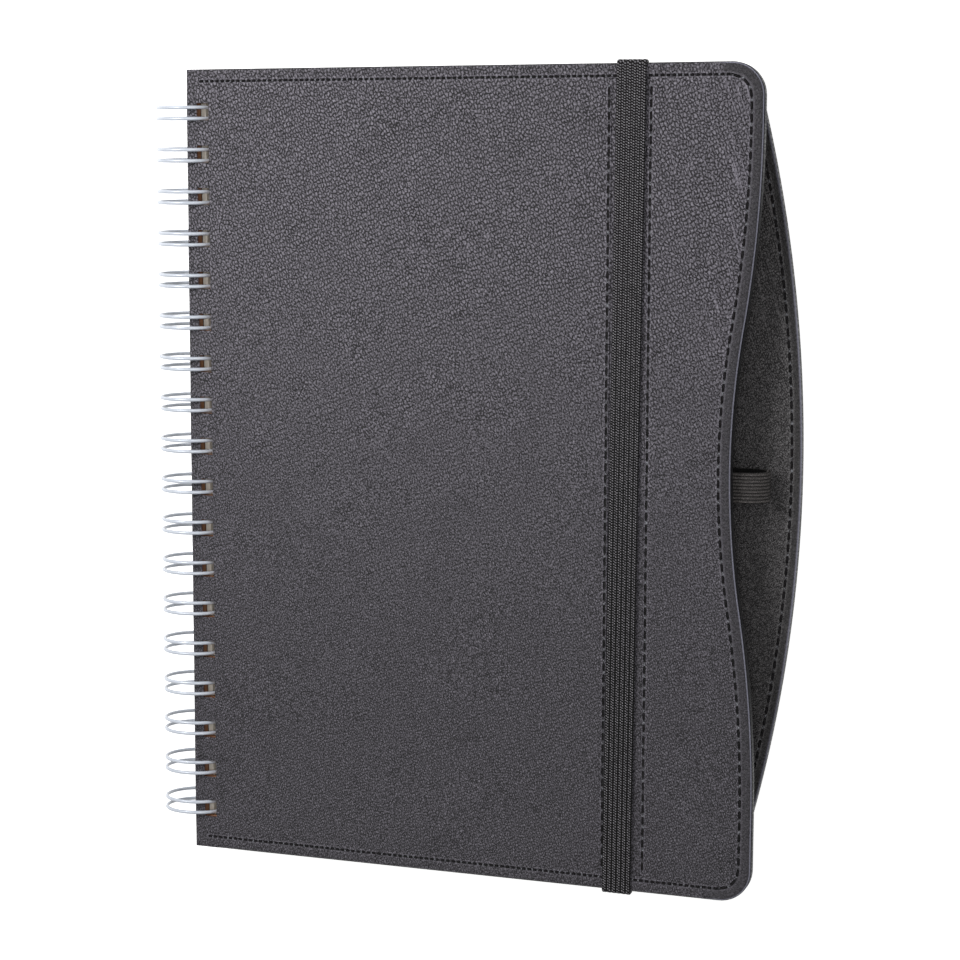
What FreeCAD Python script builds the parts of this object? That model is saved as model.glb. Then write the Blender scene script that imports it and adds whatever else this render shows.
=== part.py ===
"""A wire-bound planner with leather covers, lying closed on its back cover.

Frame: +X from the wire to the fore edge, +Y from tail to head, +Z from the back cover to the front
cover. The origin lies under the middle of the planner's box, at the height of the wire's lowest
point. Lengths are in millimetres, angles in degrees.
"""

import FreeCAD
import Part
import Sketcher
import math
import os

# ---------------------------------------------------------------------------------------------
# Driving dimensions
# ---------------------------------------------------------------------------------------------

SIZES = [
    # the two covers: their own width, height and layers
    ("cover_width", 177.8),
    ("cover_height", 241.3),
    ("cover_corner", 9.5),
    ("leather_thickness", 0.7),
    ("board_thickness", 2.0),
    ("lining_thickness", 0.5),
    ("edge_bevel", 0.45),
    # the front cover's hollow fore edge, between a straight stretch at the head and one at the tail
    ("fore_straight_head", 7.55),
    ("fore_straight_tail", 18.75),
    ("dip_depth", 7.9),
    ("dip_radius", 255.0),
    # the back cover's bulging fore edge
    ("tongue_reach", 10.2),
    ("tongue_radius", 422.0),
    ("tongue_above_middle", 5.2),
    # the front cover's leather: the first panel, and the channel that the elastic lies in
    ("main_panel_width", 133.8),
    ("channel_margin", 1.05),
    ("channel_depth", 0.25),
    # the punched row and the twin-loop wire
    ("loop_pitch", 12.7),
    ("end_margin", 12.7),
    ("hole_clearance", 0.12),
    ("hole_side_clearance", 0.37),
    ("wire_diameter", 1.1),
    ("ring_stand", 2.7),
    ("ring_outside", 2.2),
    ("twin_spacing", 3.36),
    ("bend_length", 0.8),
    ("seam_gap", 0.4),
    ("seam_clearance", 0.15),
    # the pages: how much shorter than the covers they are at each end and at the fore edge
    ("page_thickness", 8.6),
    ("page_hole_width", 4.2),
    ("page_hole_margin", 3.6),
    ("page_end_margin", 3.15),
    ("page_fore_margin", 24.2),
    # the elastic band round the front cover
    ("band_width", 8.6),
    ("band_thickness", 0.9),
    ("band_offset", 0.55),
    ("band_skew", 0.49),
    ("band_tuck", 18.0),
    ("band_clearance", 0.2),
    ("band_rib_width", 1.43),
    ("band_groove_width", 0.4),
    ("band_groove_depth", 0.15),
    # the pen loop on the back cover
    ("pen_loop_edge_margin", 8.1),
    ("pen_loop_above_middle", 0.2),
    ("pen_loop_width", 17.0),
    ("pen_loop_clearance", 0.5),
    ("pen_loop_height", 8.7),
    ("pen_loop_wall", 1.1),
]

doc = FreeCAD.newDocument("planner")
sheet = doc.addObject("Spreadsheet::Sheet", "Sizes")
for row, (alias, number) in enumerate(SIZES, start=1):
    sheet.set(f"A{row}", alias)
    sheet.set(f"B{row}", str(number))
    sheet.setAlias(f"B{row}", alias)
doc.recompute()


def amount(expression):
    """The number that an expression on the sheet comes to."""
    return float(sheet.evalExpression(expression))


# Straight stretches that stand for one ring of the wire, and the share of the ring's radius that
# the middle of such a stretch keeps.
RING_SIDES = 16
FLAT_SHARE = f"cos(180deg / {RING_SIDES})"

# How far a cut runs past the material it cuts.
OVERRUN = "2"

# Expressions that several pieces share. The wire's axis is the line that both covers turn about,
# and it runs along the middle of the closed stack.
LEATHER = "Sizes.leather_thickness"
LINING = "Sizes.lining_thickness"
BOARD = "Sizes.board_thickness"
COVER = f"({LEATHER} + {BOARD} + {LINING})"
LAYERS_UNDER = f"({BOARD} + {LINING})"
HALF_PAGES = "(Sizes.page_thickness / 2)"
RING_RADIUS = f"({HALF_PAGES} + {COVER} + Sizes.ring_stand)"
RING_REACH = f"({RING_RADIUS} + Sizes.wire_diameter / 2)"
SPINE_X = f"((Sizes.ring_outside + {RING_REACH} - Sizes.cover_width - Sizes.tongue_reach) / 2)"
AXIS_X = f"({SPINE_X} - Sizes.ring_outside)"
AXIS_Z = RING_REACH
FRONT_INNER_Z = f"({AXIS_Z} + {HALF_PAGES})"
BACK_INNER_Z = f"({AXIS_Z} - {HALF_PAGES})"
BACK_OUTER_Z = f"({BACK_INNER_Z} - {COVER})"
HALF_HEIGHT = "(Sizes.cover_height / 2)"
TONGUE_X = "(Sizes.cover_width + Sizes.tongue_reach)"

# The hollow in the front cover's fore edge.
DIP_LOW_Y = f"(Sizes.cover_corner + Sizes.fore_straight_tail - {HALF_HEIGHT})"
DIP_HIGH_Y = f"({HALF_HEIGHT} - Sizes.cover_corner - Sizes.fore_straight_head)"
DIP_Y = f"(({DIP_LOW_Y} + {DIP_HIGH_Y}) / 2)"

# The channel between the two large leather panels, and the elastic that lies in it.
CHANNEL_WIDTH = "(Sizes.band_width + 2 * Sizes.channel_margin)"
SIDE_PANEL_START = f"(Sizes.main_panel_width + {CHANNEL_WIDTH})"
BAND_X = f"(Sizes.main_panel_width + {CHANNEL_WIDTH} / 2 - Sizes.band_offset)"
BAND_SHIFT = f"({HALF_HEIGHT} * tan(Sizes.band_skew))"

# The row of loops, and the holes in the covers: just long enough for a ring that slants through
# the cover's thickness, wherever the cover has turned to.
LOOPS = "(floor((Sizes.cover_height - 2 * Sizes.end_margin) / Sizes.loop_pitch + 0.01) + 1)"
ROW_LENGTH = f"(({LOOPS} - 1) * Sizes.loop_pitch)"
RING_INSIDE = f"({RING_RADIUS} * {FLAT_SHARE} - Sizes.wire_diameter / 2)"
HOLE_LEFT = (
    f"(sqrt({RING_INSIDE} ^ 2 - ({HALF_PAGES} + {COVER}) ^ 2)"
    " - Sizes.ring_outside - Sizes.hole_clearance)"
)
HOLE_RIGHT = (
    f"(sqrt({RING_REACH} ^ 2 - {HALF_PAGES} ^ 2) - Sizes.ring_outside + Sizes.hole_clearance)"
)
HOLE_HEIGHT = "(Sizes.twin_spacing + Sizes.wire_diameter + 2 * Sizes.hole_side_clearance)"

# The pages, measured from the wire's axis at the middle of their thickness, and the pen loop.
PAGE_HOLE_LEFT = f"({RING_RADIUS} - Sizes.page_hole_width / 2)"
PAGE_HOLE_RIGHT = f"({RING_RADIUS} + Sizes.page_hole_width / 2)"
PAGE_LEFT = f"({PAGE_HOLE_LEFT} - Sizes.page_hole_margin)"
PAGE_RIGHT = f"(Sizes.ring_outside + Sizes.cover_width - Sizes.page_fore_margin)"
PAGE_HEIGHT = "(Sizes.cover_height - 2 * Sizes.page_end_margin)"
PEN_LOOP_X = f"({TONGUE_X} - Sizes.pen_loop_edge_margin - Sizes.pen_loop_width / 2)"
PEN_LOOP_DEPTH = "(Sizes.page_thickness - Sizes.pen_loop_clearance)"


# ---------------------------------------------------------------------------------------------
# Sketch and body helpers
# ---------------------------------------------------------------------------------------------

# Sketcher's numbers for its origin and for the two ends and the centre of a piece of outline.
ORIGIN = (-1, 1)
START, END, CENTRE = range(1, 4)


def new_body(label, x_place, z_place):
    """A body of its own whose origin lies at the given place on the planner's middle line."""
    body = doc.addObject("PartDesign::Body", label)
    body.Label = label
    body.setExpression("Placement.Base.x", x_place)
    body.setExpression("Placement.Base.z", z_place)
    return body


def origin_plane(body, role):
    return next(item for item in body.Origin.OriginFeatures if item.Role == role)


def new_sketch(body, name, role="XY_Plane", height="0"):
    """A sketch on one of the body's origin planes, raised along that plane's normal."""
    sketch = body.newObject("Sketcher::SketchObject", f"{body.Name}_{name}")
    sketch.AttachmentSupport = [(origin_plane(body, role), "")]
    sketch.MapMode = "FlatFace"
    sketch.setExpression("AttachmentOffset.Base.z", height)
    return sketch


def size_constraint(sketch, kind, references, expression):
    """A dimension in the sketch that follows the sheet."""
    number = amount(expression)
    index = sketch.addConstraint(Sketcher.Constraint(kind, *references, number))
    sketch.setExpression(f"Constraints[{index}]", expression)


def place_point(sketch, geometry, position, x=None, y=None):
    """Ties a point's distances from the sketch's origin to the sheet."""
    if x is not None:
        size_constraint(sketch, "DistanceX", (*ORIGIN, geometry, position), x)
    if y is not None:
        size_constraint(sketch, "DistanceY", (*ORIGIN, geometry, position), y)


def line(start, end):
    return Part.LineSegment(FreeCAD.Vector(*start, 0), FreeCAD.Vector(*end, 0))


def arc(centre, radius, first, last):
    """An arc that turns left from the point first to the point last."""
    circle = Part.Circle(FreeCAD.Vector(*centre, 0), FreeCAD.Vector(0, 0, 1), radius)
    angles = [math.atan2(p[1] - centre[1], p[0] - centre[0]) for p in (first, last)]
    if angles[1] <= angles[0]:
        angles[1] += 2 * math.pi
    return Part.ArcOfCircle(circle, *angles)


def join(sketch, links):
    """Closes an outline: each link is (kind, piece, its end, next piece, its end)."""
    for kind, piece, piece_end, follower, follower_end in links:
        sketch.addConstraint(
            Sketcher.Constraint(kind, piece, piece_end, follower, follower_end)
        )


def square(sketch, upright, level):
    for index in upright:
        sketch.addConstraint(Sketcher.Constraint("Vertical", index))
    for index in level:
        sketch.addConstraint(Sketcher.Constraint("Horizontal", index))


def polygon(sketch, corners):
    """A closed outline of straight lines through corners given as pairs of expressions."""
    points = [(amount(x), amount(y)) for x, y in corners]
    first = sketch.GeometryCount
    count = len(points)
    for index in range(count):
        sketch.addGeometry(line(points[index], points[(index + 1) % count]))
    for index in range(count):
        follower = first + (index + 1) % count
        join(sketch, [("Coincident", first + index, END, follower, START)])
        place_point(sketch, first + index, START, *corners[index])


def rectangle(sketch, left, right, bottom, top):
    polygon(sketch, [(left, bottom), (right, bottom), (right, top), (left, top)])


def pad(body, sketch, length, midplane=False):
    feature = body.newObject("PartDesign::Pad", f"{sketch.Name}_pad")
    feature.Profile = sketch
    feature.Midplane = midplane
    feature.setExpression("Length", length)
    doc.recompute()
    return feature


def pocket(body, sketch, length, upward=False, midplane=False):
    """Cuts the sketch's outline out of the body, and checks that something went."""
    before = body.Shape.Volume
    feature = body.newObject("PartDesign::Pocket", f"{sketch.Name}_pocket")
    feature.Profile = sketch
    feature.Reversed = upward
    feature.Midplane = midplane
    feature.setExpression("Length", length)
    doc.recompute()
    if not body.Shape.Volume < before:
        raise RuntimeError(f"{feature.Name} cuts nothing")
    return feature


def repeat_along_y(body, feature, sketch, axis):
    """Repeats a cut for every loop of the wire, from tail to head."""
    pattern = body.newObject("PartDesign::LinearPattern", f"{body.Name}_row")
    pattern.Originals = [feature]
    pattern.Direction = (sketch, [axis])
    pattern.setExpression("Length", ROW_LENGTH)
    pattern.setExpression("Occurrences", LOOPS)
    body.Tip = pattern
    doc.recompute()


def bevel_edges(body, chosen):
    """Bevels the edges of the body's last feature that the test chosen picks."""
    base = body.Tip
    names = [
        f"Edge{index}"
        for index, edge in enumerate(base.Shape.Edges, start=1)
        if chosen(edge)
    ]
    feature = body.newObject("PartDesign::Chamfer", f"{body.Name}_bevel")
    feature.Base = (base, names)
    feature.setExpression("Size", "Sizes.edge_bevel")
    doc.recompute()


def lies_at_height(edge, height):
    return all(abs(vertex.Z - height) < 1e-4 for vertex in edge.Vertexes)


def runs_along_x_of(edge, x_value):
    return all(abs(vertex.X - x_value) < 1e-4 for vertex in edge.Vertexes)


# ---------------------------------------------------------------------------------------------
# Cover outlines
# ---------------------------------------------------------------------------------------------


def front_outline(sketch, left, inset="0"):
    """The front cover's outline, drawn in by inset, from x = left to the fore edge.

    The fore edge swings in by dip_depth: a hollow arc between two shoulder arcs, each tangent to
    the straight stretches beyond them. The shoulders' radius follows from the other sizes.
    """
    x_fore = amount(f"Sizes.cover_width - {inset}")
    x_left = amount(left)
    y_top = amount(f"{HALF_HEIGHT} - {inset}")
    corner = amount(f"Sizes.cover_corner - {inset}")
    depth = amount("Sizes.dip_depth")
    half_length = amount(f"{DIP_HIGH_Y} - {DIP_Y}")
    hollow = amount(f"Sizes.dip_radius + {inset}")
    shoulder = (half_length**2 + depth**2) / (2 * depth) - hollow
    y_dip = amount(DIP_Y)
    dip_centre = (x_fore - depth + hollow, y_dip)
    low_centre = (x_fore - shoulder, y_dip - half_length)
    high_centre = (x_fore - shoulder, y_dip + half_length)
    share = shoulder / (shoulder + hollow)
    low_turn = [c + share * (d - c) for c, d in zip(low_centre, dip_centre)]
    high_turn = [c + share * (d - c) for c, d in zip(high_centre, dip_centre)]
    x_corner = x_fore - corner
    y_corner = y_top - corner

    pieces = [
        line((x_left, y_top), (x_left, -y_top)),
        line((x_left, -y_top), (x_corner, -y_top)),
        arc((x_corner, -y_corner), corner, (x_corner, -y_top), (x_fore, -y_corner)),
        line((x_fore, -y_corner), (x_fore, low_centre[1])),
        arc(low_centre, shoulder, (x_fore, low_centre[1]), low_turn),
        arc(dip_centre, hollow, high_turn, low_turn),
        arc(high_centre, shoulder, high_turn, (x_fore, high_centre[1])),
        line((x_fore, high_centre[1]), (x_fore, y_corner)),
        arc((x_corner, y_corner), corner, (x_fore, y_corner), (x_corner, y_top)),
        line((x_corner, y_top), (x_left, y_top)),
    ]
    (
        spine, tail, tail_corner, fore_low, low_shoulder,
        dip, high_shoulder, fore_high, head_corner, head,
    ) = range(len(pieces))
    sketch.addGeometry(pieces)
    join(
        sketch,
        [
            ("Coincident", spine, END, tail, START),
            ("Tangent", tail, END, tail_corner, START),
            ("Tangent", tail_corner, END, fore_low, START),
            ("Tangent", fore_low, END, low_shoulder, START),
            ("Tangent", low_shoulder, END, dip, END),
            ("Tangent", dip, START, high_shoulder, START),
            ("Tangent", high_shoulder, END, fore_high, START),
            ("Tangent", fore_high, END, head_corner, START),
            ("Tangent", head_corner, END, head, START),
            ("Coincident", head, END, spine, START),
        ],
    )
    square(sketch, [spine, fore_low, fore_high], [tail, head])
    fore_x = f"Sizes.cover_width - {inset}"
    place_point(sketch, spine, START, left, f"{HALF_HEIGHT} - {inset}")
    place_point(sketch, spine, END, None, f"{inset} - {HALF_HEIGHT}")
    place_point(sketch, fore_low, END, fore_x, DIP_LOW_Y)
    place_point(sketch, fore_high, START, fore_x, DIP_HIGH_Y)
    dip_x = "Sizes.cover_width - Sizes.dip_depth + Sizes.dip_radius"
    place_point(sketch, dip, CENTRE, dip_x, DIP_Y)
    size_constraint(sketch, "Radius", (dip,), f"Sizes.dip_radius + {inset}")
    for corner_arc in (tail_corner, head_corner):
        size_constraint(sketch, "Radius", (corner_arc,), f"Sizes.cover_corner - {inset}")


def back_outline(sketch, left, inset="0"):
    """The back cover's outline, drawn in by inset: its fore edge is one long bulging arc."""
    x_left = amount(left)
    y_top = amount(f"{HALF_HEIGHT} - {inset}")
    corner = amount(f"Sizes.cover_corner - {inset}")
    radius = amount(f"Sizes.tongue_radius - {inset}")
    x_centre = amount(f"{TONGUE_X} - Sizes.tongue_radius")
    y_centre = amount("Sizes.tongue_above_middle")
    y_low = corner - y_top
    y_high = y_top - corner
    x_low = x_centre + math.sqrt((radius - corner) ** 2 - (y_low - y_centre) ** 2)
    x_high = x_centre + math.sqrt((radius - corner) ** 2 - (y_high - y_centre) ** 2)

    def on_tongue(x, y):
        """Where the corner arc round (x, y) meets the bulging arc."""
        stretch = radius / (radius - corner)
        return (x_centre + stretch * (x - x_centre), y_centre + stretch * (y - y_centre))

    low_turn = on_tongue(x_low, y_low)
    high_turn = on_tongue(x_high, y_high)
    pieces = [
        line((x_left, y_top), (x_left, -y_top)),
        line((x_left, -y_top), (x_low, -y_top)),
        arc((x_low, y_low), corner, (x_low, -y_top), low_turn),
        arc((x_centre, y_centre), radius, low_turn, high_turn),
        arc((x_high, y_high), corner, high_turn, (x_high, y_top)),
        line((x_high, y_top), (x_left, y_top)),
    ]
    spine, tail, tail_corner, tongue, head_corner, head = range(6)
    sketch.addGeometry(pieces)
    join(
        sketch,
        [
            ("Coincident", spine, END, tail, START),
            ("Tangent", tail, END, tail_corner, START),
            ("Tangent", tail_corner, END, tongue, START),
            ("Tangent", tongue, END, head_corner, START),
            ("Tangent", head_corner, END, head, START),
            ("Coincident", head, END, spine, START),
        ],
    )
    square(sketch, [spine], [tail, head])
    place_point(sketch, spine, START, left, f"{HALF_HEIGHT} - {inset}")
    place_point(sketch, spine, END, None, f"{inset} - {HALF_HEIGHT}")
    place_point(sketch, tongue, CENTRE, f"{TONGUE_X} - Sizes.tongue_radius", "Sizes.tongue_above_middle")
    size_constraint(sketch, "Radius", (tongue,), f"Sizes.tongue_radius - {inset}")
    for corner_arc in (tail_corner, head_corner):
        size_constraint(sketch, "Radius", (corner_arc,), f"Sizes.cover_corner - {inset}")


def punch_cover(body):
    """The row of oblong holes along the spine edge, one for each loop of the wire."""
    sketch = new_sketch(body, "hole")
    middle = f"(-{ROW_LENGTH} / 2)"
    rectangle(
        sketch,
        HOLE_LEFT,
        HOLE_RIGHT,
        f"{middle} - {HOLE_HEIGHT} / 2",
        f"{middle} + {HOLE_HEIGHT} / 2",
    )
    hole = pocket(body, sketch, f"4 * {COVER}", midplane=True)
    repeat_along_y(body, hole, sketch, "V_Axis")


# ---------------------------------------------------------------------------------------------
# Front cover: board, three leather panels and a lining
# ---------------------------------------------------------------------------------------------

def cut_band_channels(body):
    """Lets in the two ends of the elastic band, which pass round the edge and under the lining."""
    half_width = "(Sizes.band_width / 2 + Sizes.band_clearance)"
    sketch = new_sketch(body, "band_ends", height=LINING)
    for side in (1, -1):
        centre = f"({BAND_X} + ({side}) * {BAND_SHIFT})"
        inner = f"({side}) * ({HALF_HEIGHT} - Sizes.band_tuck - Sizes.band_clearance)"
        outer = f"({side}) * ({HALF_HEIGHT} + {OVERRUN})"
        low, high = (inner, outer) if side == 1 else (outer, inner)
        rectangle(sketch, f"{centre} - {half_width}", f"{centre} + {half_width}", low, high)
    pocket(body, sketch, "Sizes.band_thickness", upward=True)


def make_front_board():
    body = new_body("front_board", SPINE_X, FRONT_INNER_Z)
    sketch = new_sketch(body, "outline", height=LINING)
    front_outline(sketch, LEATHER, inset=LEATHER)
    pad(body, sketch, "Sizes.board_thickness")
    cut_band_channels(body)
    punch_cover(body)
    return body


def make_front_lining():
    body = new_body("front_lining", SPINE_X, FRONT_INNER_Z)
    sketch = new_sketch(body, "outline")
    front_outline(sketch, LEATHER, inset=LEATHER)
    pad(body, sketch, LINING)
    punch_cover(body)
    return body


def make_front_main_panel():
    """Leather from the spine edge to the first seam, turned down over three edges of the board."""
    body = new_body("front_main_panel", SPINE_X, FRONT_INNER_Z)
    outline = new_sketch(body, "outline")
    rectangle(outline, "0", "Sizes.main_panel_width", f"-{HALF_HEIGHT}", HALF_HEIGHT)
    pad(body, outline, COVER)
    hollow = new_sketch(body, "hollow")
    rectangle(
        hollow,
        LEATHER,
        f"Sizes.main_panel_width + {OVERRUN}",
        f"{LEATHER} - {HALF_HEIGHT}",
        f"{HALF_HEIGHT} - {LEATHER}",
    )
    pocket(body, hollow, LAYERS_UNDER, upward=True)
    top = amount(COVER)
    seam = amount("Sizes.main_panel_width")
    bevel_edges(body, lambda e: lies_at_height(e, top) and not runs_along_x_of(e, seam))
    cut_band_channels(body)
    punch_cover(body)
    return body


def make_front_center_strip():
    """The narrow strip that lies a little lower between the two large panels."""
    body = new_body("front_center_strip", SPINE_X, FRONT_INNER_Z)
    top = f"({COVER} - Sizes.channel_depth)"
    outline = new_sketch(body, "outline")
    rectangle(
        outline, "Sizes.main_panel_width", SIDE_PANEL_START, f"-{HALF_HEIGHT}", HALF_HEIGHT
    )
    pad(body, outline, top)
    hollow = new_sketch(body, "hollow")
    rectangle(
        hollow,
        f"Sizes.main_panel_width - {OVERRUN}",
        f"{SIDE_PANEL_START} + {OVERRUN}",
        f"{LEATHER} - {HALF_HEIGHT}",
        f"{HALF_HEIGHT} - {LEATHER}",
    )
    pocket(body, hollow, LAYERS_UNDER, upward=True)
    cut_band_channels(body)
    return body


def make_front_side_panel():
    """Leather from the second seam to the hollow fore edge."""
    body = new_body("front_side_panel", SPINE_X, FRONT_INNER_Z)
    outline = new_sketch(body, "outline")
    front_outline(outline, SIDE_PANEL_START)
    pad(body, outline, COVER)
    hollow = new_sketch(body, "hollow")
    front_outline(hollow, f"{SIDE_PANEL_START} - {OVERRUN}", inset=LEATHER)
    pocket(body, hollow, LAYERS_UNDER, upward=True)
    top = amount(COVER)
    seam = amount(SIDE_PANEL_START)
    bevel_edges(body, lambda e: lies_at_height(e, top) and not runs_along_x_of(e, seam))
    return body


def cut_band_grooves(body):
    """Runs grooves along the elastic's outer side, which leaves ribs of one width between them."""
    ribs = int(amount("floor(Sizes.band_width / Sizes.band_rib_width + 0.01)"))
    half_groove = "Sizes.band_groove_width / 2"
    floor = f"{COVER} + Sizes.band_thickness - Sizes.band_groove_depth"
    sketch = new_sketch(body, "grooves", role="XZ_Plane")
    for groove in range(1, ribs):
        middle = f"Sizes.band_width * ({groove} / {ribs} - 1 / 2)"
        rectangle(
            sketch,
            f"{middle} - {half_groove}",
            f"{middle} + {half_groove}",
            floor,
            f"{floor} + {OVERRUN}",
        )
    pocket(body, sketch, "2 * Sizes.cover_height", midplane=True)


def make_elastic_band():
    """A flat elastic drawn round the front cover, its ends tucked under the lining."""
    body = new_body("elastic_band", f"{SPINE_X} + {BAND_X}", FRONT_INNER_Z)
    body.setExpression("Placement.Rotation.Angle", "-Sizes.band_skew")
    thick = "Sizes.band_thickness"
    edge = f"({HALF_HEIGHT} + Sizes.band_clearance / 2)"
    sketch = new_sketch(body, "loop", role="YZ_Plane")
    polygon(
        sketch,
        [
            (f"-{edge} - {thick}", LINING),
            (f"Sizes.band_tuck - {HALF_HEIGHT}", LINING),
            (f"Sizes.band_tuck - {HALF_HEIGHT}", f"{LINING} + {thick}"),
            (f"-{edge}", f"{LINING} + {thick}"),
            (f"-{edge}", COVER),
            (edge, COVER),
            (edge, f"{LINING} + {thick}"),
            (f"{HALF_HEIGHT} - Sizes.band_tuck", f"{LINING} + {thick}"),
            (f"{HALF_HEIGHT} - Sizes.band_tuck", LINING),
            (f"{edge} + {thick}", LINING),
            (f"{edge} + {thick}", f"{COVER} + {thick}"),
            (f"-{edge} - {thick}", f"{COVER} + {thick}"),
        ],
    )
    pad(body, sketch, "Sizes.band_width", midplane=True)
    outside = amount(f"{edge} + {thick}")
    bevel_edges(
        body,
        lambda e: all(abs(abs(v.Y) - outside) < 1e-4 for v in e.Vertexes)
        and abs(e.Vertexes[0].X - e.Vertexes[-1].X) > 1,
    )
    cut_band_grooves(body)
    return body


# ---------------------------------------------------------------------------------------------
# Back cover: board, one leather skin, a lining and the pen loop
# ---------------------------------------------------------------------------------------------


def make_back_leather():
    """The skin over the outside of the back cover, turned up over all four edges of the board."""
    body = new_body("back_leather", SPINE_X, BACK_OUTER_Z)
    outline = new_sketch(body, "outline")
    back_outline(outline, "0")
    pad(body, outline, COVER)
    hollow = new_sketch(body, "hollow", height=COVER)
    back_outline(hollow, LEATHER, inset=LEATHER)
    pocket(body, hollow, LAYERS_UNDER)
    bevel_edges(body, lambda e: lies_at_height(e, 0))
    punch_cover(body)
    return body


def make_back_layer(label, bottom, thickness):
    """A board or lining that fills the back cover's skin."""
    body = new_body(label, SPINE_X, BACK_OUTER_Z)
    sketch = new_sketch(body, "outline", height=bottom)
    back_outline(sketch, LEATHER, inset=LEATHER)
    pad(body, sketch, thickness)
    punch_cover(body)
    return body


def stadium(sketch, width, height, middle):
    """A slot-shaped outline with round ends, standing with its middle at height middle."""
    half_width = amount(width) / 2
    half_height = amount(height) / 2
    level = amount(middle)
    x_turn = half_width - half_height
    low = level - half_height
    high = level + half_height
    first = sketch.GeometryCount
    bottom, right, top, left = range(first, first + 4)
    sketch.addGeometry(
        [
            line((-x_turn, low), (x_turn, low)),
            arc((x_turn, level), half_height, (x_turn, low), (x_turn, high)),
            line((x_turn, high), (-x_turn, high)),
            arc((-x_turn, level), half_height, (-x_turn, high), (-x_turn, low)),
        ]
    )
    join(
        sketch,
        [
            ("Tangent", bottom, END, right, START),
            ("Tangent", right, END, top, START),
            ("Tangent", top, END, left, START),
            ("Tangent", left, END, bottom, START),
        ],
    )
    square(sketch, [], [bottom])
    place_point(sketch, right, CENTRE, f"({width} - {height}) / 2", middle)
    place_point(sketch, left, CENTRE, f"({height} - {width}) / 2", None)
    size_constraint(sketch, "Radius", (right,), f"{height} / 2")


def make_pen_loop():
    """A short flattened tube of ribbed elastic that stands on the back cover's inner face."""
    body = new_body("pen_loop", f"{SPINE_X} + {PEN_LOOP_X}", BACK_INNER_Z)
    body.setExpression("Placement.Base.y", "Sizes.pen_loop_above_middle")
    sketch = new_sketch(body, "section", role="XZ_Plane")
    middle = f"{PEN_LOOP_DEPTH} / 2"
    walls = "2 * Sizes.pen_loop_wall"
    stadium(sketch, "Sizes.pen_loop_width", PEN_LOOP_DEPTH, middle)
    stadium(sketch, f"(Sizes.pen_loop_width - {walls})", f"({PEN_LOOP_DEPTH} - {walls})", middle)
    pad(body, sketch, "Sizes.pen_loop_height", midplane=True)
    return body


# ---------------------------------------------------------------------------------------------
# Pages and wire
# ---------------------------------------------------------------------------------------------

# The wire's closed tips and the runs between its loops meet at a seam between the last page and
# the back cover: the runs lie lowest, just above the cover, and the tips close over them.
RUN_Z = f"(Sizes.seam_clearance + Sizes.wire_diameter / 2 - {HALF_PAGES})"
RUN_ANGLE = f"asin({RUN_Z} / {RING_RADIUS})"
TIP_ANGLE = f"({RUN_ANGLE} + (Sizes.wire_diameter + Sizes.seam_gap) / {RING_RADIUS} * 180deg / pi)"


def page_slice(sketch, left, right, half_height):
    """A section through sheets threaded on the rings: both sides follow the ring's own arc."""
    radius = amount(RING_RADIUS)
    tall = amount(half_height)
    inward = radius - math.sqrt(radius**2 - tall**2)
    x_left = amount(left)
    x_right = amount(right)
    low_left = (x_left - inward, -tall)
    high_left = (x_left - inward, tall)
    low_right = (x_right - inward, -tall)
    high_right = (x_right - inward, tall)
    left_side, bottom, right_side, top = range(4)
    sketch.addGeometry(
        [
            arc((x_left - radius, 0), radius, low_left, high_left),
            line(low_left, low_right),
            arc((x_right - radius, 0), radius, low_right, high_right),
            line(high_right, high_left),
        ]
    )
    join(
        sketch,
        [
            ("Coincident", left_side, START, bottom, START),
            ("Coincident", bottom, END, right_side, START),
            ("Coincident", right_side, END, top, START),
            ("Coincident", top, END, left_side, END),
        ],
    )
    square(sketch, [], [bottom, top])
    for side, place in ((left_side, left), (right_side, right)):
        place_point(sketch, side, CENTRE, f"{place} - {RING_RADIUS}", "0")
        size_constraint(sketch, "Radius", (side,), RING_RADIUS)
    place_point(sketch, bottom, START, None, f"-{half_height}")
    place_point(sketch, top, END, None, half_height)


def make_page_block():
    """All sheets as one block, pushed over by the rings, with a row of holes that follow them."""
    body = new_body("page_block", AXIS_X, AXIS_Z)
    outline = new_sketch(body, "outline", role="XZ_Plane")
    page_slice(outline, PAGE_LEFT, PAGE_RIGHT, HALF_PAGES)
    pad(body, outline, PAGE_HEIGHT, midplane=True)

    hole_sketch = new_sketch(body, "hole", role="XZ_Plane", height=f"-{ROW_LENGTH} / 2")
    page_slice(hole_sketch, PAGE_HOLE_LEFT, PAGE_HOLE_RIGHT, f"({HALF_PAGES} + {OVERRUN})")
    hole = pocket(body, hole_sketch, HOLE_HEIGHT, midplane=True)
    repeat_along_y(body, hole, hole_sketch, "N_Axis")

    # The last sheets lie round the seam of the wire.
    groove = new_sketch(body, "seam_groove", role="XZ_Plane")
    room = "(Sizes.wire_diameter / 2 + Sizes.seam_clearance)"
    rectangle(
        groove,
        f"{RING_RADIUS} * cos({RUN_ANGLE}) - {room}",
        f"{RING_RADIUS} * cos({TIP_ANGLE}) + {room}",
        f"-{HALF_PAGES} - {OVERRUN}",
        f"{RING_RADIUS} * sin({TIP_ANGLE}) + {room}",
    )
    pocket(body, groove, ROW_LENGTH, midplane=True)
    return body


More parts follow.
